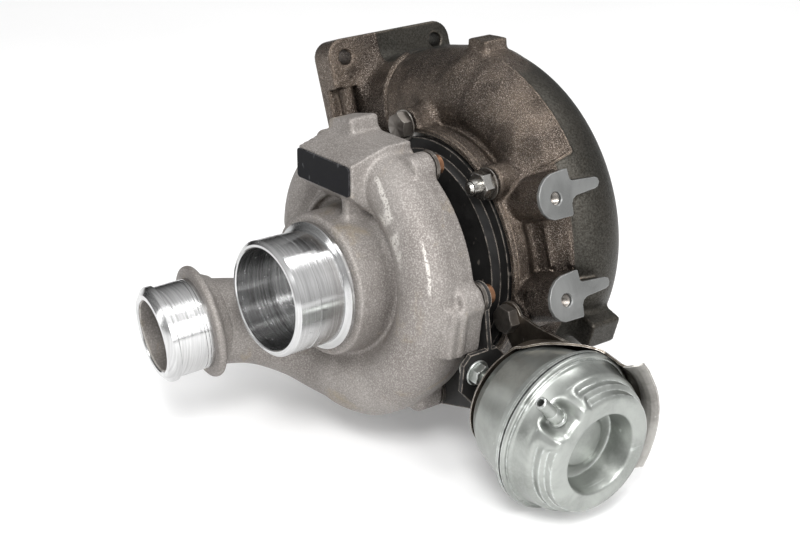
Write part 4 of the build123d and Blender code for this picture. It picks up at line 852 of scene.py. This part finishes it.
def turbine_casting():
    step = 1.0
    low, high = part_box("turbine_housing")
    body = Casting([c / MM - 3 for c in low], [c / MM + 3 for c in high], step)
    body.add(turned(
        (0, 108.2), (66, 108.2), (67, 110), (67, 117), (60, 128), (56, 150), (52, 166), (40, 170),
        (35, 176), (34, 186), (0, 186),
    ))
    ends = SCROLL_FIRST, SCROLL_LAST
    body.add(scroll(*ends, turbine_radius, turbine_section, lambda angle: SCROLL_Y, raised_front), 5)
    elbow = polar(turbine_radius(SCROLL_FIRST), SCROLL_FIRST, SCROLL_Y)
    # neck to the inlet flange, and the body of the duct that starts with a raised lip
    body.add(drum(in_duct(-74), in_duct(-26), 26.6, 1), 2)
    body.add(drum(in_duct(-35.5), elbow, 29.0, 3.5), 1.2)
    body.add(rod(in_duct(-14), elbow, 29.0), 1.5)
    body.add(ring_bead(in_duct(-34.6), FLOW, 28.4, 1.1), 1.0, (in_duct(-34.6), 34))
    flange = duct(-68, FLANGE_HEIGHT, FLANGE_Y)
    body.add(rounded_plate(flange, (SIDE, FLOW_UP, FLOW), (42.8, 42.8), 10, 8, 1.2), 9)
    # notch at the flange's corner with the round post left in it
    notch = duct(-60, 79.4, 115.5)
    body.cut(block(notch, (FLOW, SIDE, FLOW_UP), (8, 8.5, 14.6), 0.8), 0.8, (notch, 30))
    body.add(drum(duct(-64.2, 62, 118.2), duct(-64.2, 96, 118.2), 4.2, 0.5), 1.2, (duct(-64, 79, 118), 26))
    # outlet flange and its collar
    body.add(drum((0, 186.6, 0), (0, 196, 0), 43.0, 1.2), 3, ((0, 191, 0), 62))
    # bolt lugs
    drums(body.add, BOLT_CIRCLE, BOLT_ANGLES, 107, 131, 8.9, 1.0, 5, (120, 26))
    # bosses under the milled pads, and the ribs under their fingers
    for height, y in PADS:
        foot = duct(0, height, y)

        def boss(x, y_, z):
            along, side, up = local(x, y_, z, foot, (FLOW, SIDE, FLOW_UP))
            flat = polygon_distance(side, up, PAD_OUTLINE) + 0.2
            solid = np.maximum(np.maximum(flat, along - PAD_HIGH), PAD_LOW - along)
            return np.maximum(solid, np.minimum(108.4 - y_, 70.5 - along))

        body.add(boss, 2.2, (duct(70, height, y + 6), 44))
    # lifting stub on top, stub at the lower side
    blocks(body, (
        (96, -4, SCROLL_Y, (12.8, 7.8, 7.3), 1.3, 3, 30), (78, 108, SCROLL_Y, (14.8, 9.8, 7.8), 1.4, 3, 34),
    ))
    # ribs of the patch between the pads
    for y, radius in ((133.5, 80.8), (126.5, 73.5)):
        body.add(rod(polar(radius, 66, y), polar(radius, 82, y), 1.3), 2.0, (polar(radius, 74, y), 22))
    # gas passage, nozzle space, outlet, holes
    body.cut(scroll(*ends, turbine_radius, lambda angle: turbine_section(angle) - SCROLL_WALL,
                    lambda angle: SCROLL_Y))
    body.cut(drum(in_duct(-80), in_duct(-10), DUCT_BORE, 0.1))
    body.cut(rod(in_duct(-20), elbow, DUCT_BORE))
    body.cut(turned(
        (0, 100), (65.6, 100), (65.6, 110.8), (53, 110.8), (53, 120), (52, 141), (46.2, 141), (46.2, 142),
        (28, 142), (23, 149), (23, 160), (27, 190), (27, 200), (0, 200),
    ))
    for up in (FLANGE_HEIGHT - FLANGE_BOLT, FLANGE_HEIGHT + FLANGE_BOLT):
        for y in (FLANGE_Y - FLANGE_BOLT, FLANGE_Y + FLANGE_BOLT):
            body.cut(drum(duct(-80, up, y), duct(-56, up, y), 4.25, 0.1), 0, (duct(-68, up, y), 22))
    for height, y in PADS:
        hole = drum(duct(PAD_FACE - 14, height, y), duct(PAD_FACE + 3, height, y), 3.9, 0.1)
        body.cut(hole, 0, (duct(80, height, y), 16))
    drums(body.cut, BOLT_CIRCLE, BOLT_ANGLES, 100, 125, 4.1, 0.1, 0, (112, 20))
    drums(body.cut, OUTLET_CIRCLE, (60, 180, 300), 187, 200, 3.4, 0.1, 0, (193, 14))
    return body.mesh("turbine_casting")


settle(turbine_casting(), IRON, "turbine_iron", "turbine_housing")

DUCT_LIP = [
    (-36.2, 25), (-36.2, 28.3), (-35.7, 29.5), (-34.8, 30), (-33.8, 29.7), (-32.8, 28.9), (-31.8, 28.2),
    (-31.8, 25),
]
turn_piece("duct_lip", in_duct(0), FLOW, DUCT_LIP, IRON, "turbine_iron", sharp=50)


def on_scroll(angle, y, proud):
    """Point on the scroll's skin at an angle and a height along the shaft."""
    reach = turbine_section(angle) + proud
    return polar(turbine_radius(angle) + sqrt(max(reach * reach - (y - SCROLL_Y) ** 2, 0)), angle, y)


def bead(name, path, thick):
    """Round bead laid along a line of points, thinner at its ends."""
    turns = [2 * pi * i / 10 for i in range(10)]
    rows = []
    for k, point in enumerate(path):
        ahead = (path[min(k + 1, len(path) - 1)] - path[max(k - 1, 0)]).normalized()
        out = (point - Vector((0, point.y, 0))).normalized()
        across = ahead.cross(out).normalized()
        out = across.cross(ahead)
        size = thick * min(1, 0.25 + 0.35 * k, 0.25 + 0.35 * (len(path) - 1 - k))
        rows.append([point + (out * cos(turn) + across * sin(turn)) * size for turn in turns])
    return grid_mesh(name, rows, False, True, 60)


RIDGE = [on_scroll(6 + 0.5 * k, SCROLL_Y + RIDGE_Y + 0.12 * sin(k * 0.9), 0.55) for k in range(77)]
CORNER = [
    on_scroll(44.5 + 1.1 * sin(k / 6 * pi / 2), SCROLL_Y + RIDGE_Y - 1.2 * k * k / 18, 0.5) for k in range(1, 7)
]
END_RIDGE = [on_scroll(45.6 + 0.05 * k, CORNER[-1].y - 0.6 * k, 0.45) for k in range(1, 16)]
SIDE_RIDGE = [polar(82.6 - 0.05 * k, 63.5 + 0.5 * k, 132.9 + 0.03 * k) for k in range(43)]
ridges = [bead("ridge", RIDGE + CORNER + END_RIDGE, 0.85), bead("side_ridge", SIDE_RIDGE, 0.9)]
settle(join("parting_ridges", ridges), IRON, "turbine_iron")
FRONT_RIM = [
    (107, 64.6), (107, 66), (107.4, 66.8), (108.2, 67.2), (110.2, 67.2), (110.2, 66), (110.8, 66),
    (110.8, 64.6),
]
turn_piece("front_rim", (0, 0, 0), SIDE, FRONT_RIM, IRON, "turbine_iron", segments=192)

HOLE_SIDES = 48


def prism(outline, place, low, high, hole_at, hole_radius, chamfer=0.25):
    """Flat piece cut to an outline, with a hole, its front edges broken.

    place maps (side, up, along) to a point."""
    work = bmesh.new()
    area = sum(a[0] * b[1] - b[0] * a[1] for a, b in around(outline))
    inset = copysign(chamfer, area)
    inner = []
    for before, (u, v), after in zip(outline[-1:] + outline[:-1], outline, outline[1:] + outline[:1]):
        du, dv = after[0] - before[0], after[1] - before[1]
        size = sqrt(du * du + dv * dv)
        inner.append((u - dv / size * inset, v + du / size * inset))
    turns = [2 * pi * k / HOLE_SIDES for k in range(HOLE_SIDES)]

    def loop(points, along):
        return [work.verts.new(place(u, v, along) * MM) for u, v in points]

    def hole(radius, along):
        return loop([(hole_at[0] + radius * cos(t), hole_at[1] + radius * sin(t)) for t in turns], along)

    rings = [loop(outline, low), loop(outline, high - chamfer), loop(inner, high)]
    holes = [hole(hole_radius + 0.5, high), hole(hole_radius, high - 0.5), hole(hole_radius, low)]
    for loops in (rings, holes):
        strip(work, loops[0], loops[1])
        strip(work, loops[1], loops[2])
    for ring, hole_ring in ((rings[-1], holes[0]), (rings[0], holes[-1])):
        edges = [work.edges.get(pair) for pair in around(ring) + around(hole_ring)]
        bmesh.ops.triangle_fill(work, use_beauty=True, use_dissolve=False, edges=edges)
    bmesh.ops.recalc_face_normals(work, faces=work.faces)
    return mesh_from(work, "prism")


def thread_wall(origin, axis, radius, length):
    """Inside wall of a tapped hole with its thread, closed at the bottom by the drill's cone."""
    crest, start = radius + 0.45, 0.6
    profile = [(0.0, radius + 0.6), (start, radius)]
    for k in range(int(length - 1.5)):
        profile += [(start + k + 0.25, crest), (start + k + 0.5, crest), (start + k + 0.85, radius)]
    profile += [(length - 1.2, radius), (length, 0.0)]
    profile += [(length + 0.6, 0.0), (length + 0.6, radius + 1.1), (0.0, radius + 1.1)]
    return lathe("thread", origin, axis, profile, True, 48, 20)


PAD_HOLE = 3.4
pads, threads = [], []
for height, y in PADS:
    foot = duct(0, height, y)
    pads.append(prism(
        PAD_OUTLINE, lambda u, v, along, foot=foot: foot + SIDE * u + FLOW_UP * v + FLOW * along,
        PAD_HIGH - 1.2, PAD_FACE, (0.0, 0.0), PAD_HOLE,
    ))
    threads.append(thread_wall(duct(PAD_HIGH, height, y), -FLOW, PAD_HOLE, 12.5))
settle(join("milled_pads", pads), MILLED, "turbine_iron")
settle(join("pad_threads", threads), DARK, "turbine_iron")


# ---------- actuator can, front shell
CRIMP = [
    (0.4, 37.4), (0.4, 41.2), (0.7, 41.6), (2.1, 41.6), (2.7, 41.2), (3, 40.3), (2.9, 39.7), (3.2, 39.3),
    (3.9, 39.3), (4.4, 38.9), (4.7, 38.2), (5.2, 37.9),
]
# outer line past the crimp: beside the channel, at the channel's closed end, and in the nipple's pocket
CHANNEL = [
    (12.2, 37), (13.6, 36.9), (14.8, 36.4), (15.4, 35.4), (15.9, 34.2), (17, 33.8), (18.6, 34.3),
    (19.9, 34.2), (20.8, 33.2), (21.5, 31.9), (23, 31.6), (25.2, 31.4), (26.6, 29.6),
]
CLOSED = [
    (12.2, 37), (13.8, 36.7), (15.2, 36.2), (16.4, 35.8), (18, 35.4), (20, 34.9), (22, 34.4),
    (23.6, 33.9), (24.8, 33.4), (25.6, 32.8), (26.2, 32), (26.5, 31), (26.6, 29.2),
]
POCKET = [
    (11, 37.1), (11.9, 36.7), (12.4, 36), (12.6, 35), (12.7, 34), (12.9, 33), (13.4, 32.2),
    (14.2, 31.6), (16.4, 31.2), (20, 30.8), (23.6, 30.3), (25.6, 29.5), (26.5, 28.2),
]
FRONT_FACE = [
    (26.6, 27), (26.6, 22.4), (26.3, 21.6), (25.4, 21), (14, 19.6), (12.6, 19.2), (12, 18.2),
    (12, 14.2), (12.3, 13.4), (13, 12.8), (13.2, 11.8), (12.9, 4), (12.8, 0),
]
INSIDE = [
    (10.8, 0), (10.8, 20), (24.4, 22.2), (25.4, 23), (25.4, 26.8), (24, 28.6), (14, 30),
    (11.4, 31.5), (10.4, 35.2), (2.6, 36.6),
]
NIPPLE_OUT = Vector(mounts["vacuum_nipple"]["axis"]).normalized()


def blend_lines(a, b, share):
    return [(p[0] + (q[0] - p[0]) * share, p[1] + (q[1] - p[1]) * share) for p, q in zip(a, b)]


def ease(value, low, high):
    share = min(max((value - low) / (high - low), 0), 1)
    return share * share * (3 - 2 * share)


_, CAN_FIRST, CAN_SECOND = spin_axes(ROD)
NIPPLE_TURN = atan2(NIPPLE_OUT.dot(CAN_SECOND), NIPPLE_OUT.dot(CAN_FIRST))


def front_shell_line(turn):
    """The shell's closed profile at an angle: full channel, its rounded end, or the nipple's pocket."""
    off = abs(degrees((turn - NIPPLE_TURN + pi) % (2 * pi) - pi))
    middle = blend_lines(POCKET, CLOSED, ease(off, 8, 17))
    middle = blend_lines(middle, CHANNEL, ease(off, 21, 29))
    return CRIMP + middle + FRONT_FACE + INSIDE


turn_piece("front_shell", CAN_CENTRE, ROD, None, ZINC, "zinc", "actuator_front_shell",
           segments=288, sharp=40, shape=front_shell_line)

NIPPLE_ROOT = on_can(17) + NIPPLE_OUT * 31
NIPPLE = [
    (0, 1.7), (0, 4.3), (0.8, 4.6), (1.6, 4.3), (2, 3.9), (6.6, 3.8), (7.4, 3.4), (7.8, 3.15),
    (17.6, 3.15), (18.4, 2.9), (18.9, 2.3), (18.8, 1.9), (18.2, 1.7),
]
turn_piece("nipple", NIPPLE_ROOT, NIPPLE_OUT, NIPPLE, ZINC, "zinc", "vacuum_nipple", segments=64)


# ---------- actuator heat shield
# each table gives, for a place along the can, the sheet's radius or the angle where it starts or ends
SHIELD_FLARE = (
    (-37.4, 29), (-33, 33.5), (-28, 35.5), (-8, 42), (-3, 43.2), (6, 42.6), (12.5, 41.8),
)
LIP_FLARE = ((11.8, 41.7), (13.0, 41.7), (15.0, 42.2), (17.0, 43.2), (18.6, 44.6), (19.4, 46.0))
SHIELD_START = ((-37.4, -14), (-28, -10), (-22.6, 3), (-15, 13), (-8, 23), (-1, 32), (16.4, 33.5), (19.4, 36))
SHIELD_END = ((-37.4, 132), (8, 130), (15, 128.5), (19.4, 122))
SHEET_THICK = 1.0
SHEET_STEPS = 80


def look_up(table, value):
    """Value from a table of straight runs."""
    return float(np.interp(value, *zip(*table)))


def shield_sheet(name, first, last, steps, flare, lift_at, narrow):
    """Flared sheet wrapped round the can between two distances along it."""
    work = bmesh.new()
    grids = []
    for inner in (0, 1):
        grid = []
        for k in range(steps + 1):
            along = first + (last - first) * k / steps
            begin, end = look_up(SHIELD_START, along) + narrow, look_up(SHIELD_END, along) - narrow
            row = []
            for i in range(SHEET_STEPS + 1):
                angle = begin + (end - begin) * i / SHEET_STEPS
                lift = lift_at * ease(along, 9, 19.4) * ease(angle, 58, 33)
                radius = look_up(flare, along) + lift - SHEET_THICK * inner
                turn = radians(angle)
                place = on_can(along + 0.35 * inner, radius * sin(turn), radius * cos(turn))
                row.append(work.verts.new(place * MM))
            grid.append(row)
        grids.append(grid)
    borders = []
    for grid in grids:
        for a, b in zip(grid, grid[1:]):
            strip(work, a, b, False)
        there, back = [row[-1] for row in grid[:-1]], [row[0] for row in grid[:0:-1]]
        borders.append(grid[0][:-1] + there + grid[-1][:0:-1] + back)
    strip(work, *borders)
    bmesh.ops.recalc_face_normals(work, faces=work.faces)
    return put(name, mesh_from(work, name, 35))


sheet = shield_sheet("shield_sheet", -37.4, 12.5, 64, SHIELD_FLARE, 3.2, 0)
lip = shield_sheet("shield_lip", 11.8, 19.4, 24, LIP_FLARE, 2.2, 0.3)
settle(lip, LIP, "shield_steel")
settle(sheet, SHIELD, "shield_steel", "actuator_heat_shield")

SHIELD_REAR, REAR_RADIUS = SHIELD_FLARE[0]
TAB_THICK = 1.4
DISC = [(0, 6.6), (0, REAR_RADIUS - 1.2), (0.3, REAR_RADIUS - 0.3), (1, REAR_RADIUS - 0.3), (1, 6.6)]
turn_piece("shield_disc", on_can(SHIELD_REAR), ROD, DISC, SHIELD, "shield_steel")


def shield_tab():
    """Flat tab that runs from the shield up to one of the turbine bolts."""
    bolt = polar(BOLT_CIRCLE, SHIELD_BOLT_ANGLE)
    depth = WASHER_FACE - TAB_THICK / 2 - CAN_CENTRE.y
    outline = [(bolt.x + 2, bolt.z - 16)]
    for k in range(17):  # round the bolt
        turn = radians(-121.6 - 211.9 * k / 16)
        outline.append((bolt.x + 8.6 * cos(turn), bolt.z + 8.6 * sin(turn)))
    outline.append((bolt.x + 19, bolt.z + 2))
    for along in (-16, -20, -24, -28, -33, SHIELD_REAR + 0.5):
        reach = look_up(SHIELD_FLARE, along) - SHEET_THICK / 2
        place = on_can(along, depth, sqrt(reach * reach - depth * depth))
        outline.append((place.x, place.z))
    foot = on_can(SHIELD_REAR + 0.5, depth, 2)
    outline.append((foot.x, foot.z))
    return prism(
        outline, lambda u, v, along: Vector((u, WASHER_FACE - along, v)), 0.0, TAB_THICK, (bolt.x, bolt.z), 4.2,
    )


settle(put("shield_tab", shield_tab()), SHIELD, "shield_steel")

# ---------- nuts on the actuator's studs
BRACKET_FACE, BRACKET_SHEET = -48.5, 2.5
NUT_WASHER = 1.4
nuts = []
for side, up in ((-16.5, 13.5), (16.5, -13.5)):
    face = on_can(BRACKET_FACE, side, up)
    nuts.append(washer(face, ROD, 6.8, 3.02, NUT_WASHER, 0.4))
    nuts.append(hexagon_head(face + ROD * NUT_WASHER, ROD, 10, 5, 0.8, 3.02, turn=0.4))
    nuts.append(hexagon_head(face - ROD * BRACKET_SHEET, -ROD, 10, 5, 0.8, 3.02, turn=0.2))
settle(join("stud_nuts", nuts), ZINC, "zinc", "actuator_nuts")


# ---------- hexagon bolts, stud and nuts
SHANK = [(0, 0), (0, 4.0), (12, 4.0), (12, 0)]
heads, rings = [], []
for angle in BOLT_ANGLES:
    if angle != STUD_ANGLE:
        under = polar(BOLT_CIRCLE, angle, WASHER_FACE - (TAB_THICK if angle == SHIELD_BOLT_ANGLE else 0))
        heads.append(hexagon_head(under, -SIDE, 13, 5.5, turn=radians(angle * 1.7)))
        heads.append(lathe("shank", under, SIDE, SHANK, False, 40))
    rest = polar(BOLT_CIRCLE, angle, WASHER_FACE)
    rings.append(washer(rest, SIDE, 8.4, 4.2, TURBINE_FRONT - WASHER_FACE, 0.35))
settle(join("bolt_heads", heads), DARK, "dark_steel", "turbine_bolts")
settle(join("bolt_washers", rings), DARK, "dark_steel", "turbine_washers")
stud_nut = hexagon_head(polar(BOLT_CIRCLE, STUD_ANGLE, WASHER_FACE), -SIDE, 13, 6.5, bore=4.02, both=True)
settle(join("stud_nut", [stud_nut]), BRIGHT, "dark_steel", "turbine_stud_nut")

# ---------- floor, light and camera
floor_data = bpy.data.meshes.new("floor")
FLOOR_Z, FLOOR_HALF = cad_low.z - 0.0005, 6.0
signs = ((-1, -1), (1, -1), (1, 1), (-1, 1))
floor_data.from_pydata([(FLOOR_HALF * x, FLOOR_HALF * y, FLOOR_Z) for x, y in signs], [], [(0, 1, 2, 3)])
floor = put("floor", floor_data)
m = Nodes("floor_white")
m.tone = m.mix(m.span(m.noise(3, 3), 0.3, 0.7), (0.84, 0.84, 0.84), (0.87, 0.87, 0.87))
m.set(m.shader, "Emission Color", m.tone)
paint(floor, m.finish(0.7, 0.0, Emission_Strength=0.2))

m = Nodes("studio", bpy.data.worlds, "Background")
aim = m.new("ShaderNodeTexCoord").outputs["Generated"]
facing = m.dot(aim, Vector((0.6, -0.15, 0.8)).normalized())
m.set(m.shader, "Strength", m.span(facing, -0.5, 0.9, 0.02, 0.9, "LINEAR"))
m.set(m.shader, "Color", (1, 1, 1, 1))
bpy.context.scene.world = m.owner
middle = (cad_low + cad_high) / 2


def soft_box(name, offset, wide, tall, power):
    """Soft rectangular light, at an offset from the middle of the part and aimed at it."""
    data = bpy.data.lights.new(name, "AREA")
    data.shape, data.size, data.size_y, data.energy = "RECTANGLE", wide, tall, power
    light = put(name, data)
    light.location = middle + Vector(offset)
    light.rotation_euler = (middle - light.location).to_track_quat("-Z", "Y").to_euler()


soft_box("key", (0.8, -0.7, 1.05), 0.5, 0.5, 15)
soft_box("side", (1.35, -0.25, 0.55), 0.35, 1.0, 10)
soft_box("front", (-0.55, -1.45, 0.35), 0.25, 0.7, 2.5)
soft_box("top", (0.3, 0.45, 1.35), 0.8, 0.35, 7)

# the camera's turn about Z, its height above the level, distance and shifts (mm), as solved from the photo
azimuth, height = radians(52.0), radians(21.68)
back = Vector((sin(azimuth) * cos(height), -cos(azimuth) * cos(height), sin(height)))
right = Vector((cos(azimuth), sin(azimuth), 0))
up = back.cross(right)
eye = (back * 897.15 + right * 67.5 + up * 16.55) * MM
camera_data = bpy.data.cameras.new("camera")
camera_data.lens, camera_data.sensor_width = 81, 36
camera = put("camera", camera_data)
camera.matrix_world = Matrix.Translation(eye) @ Matrix((right, up, back)).transposed().to_4x4()
bpy.context.scene.camera = camera
bpy.context.scene.view_settings.view_transform = "Standard"
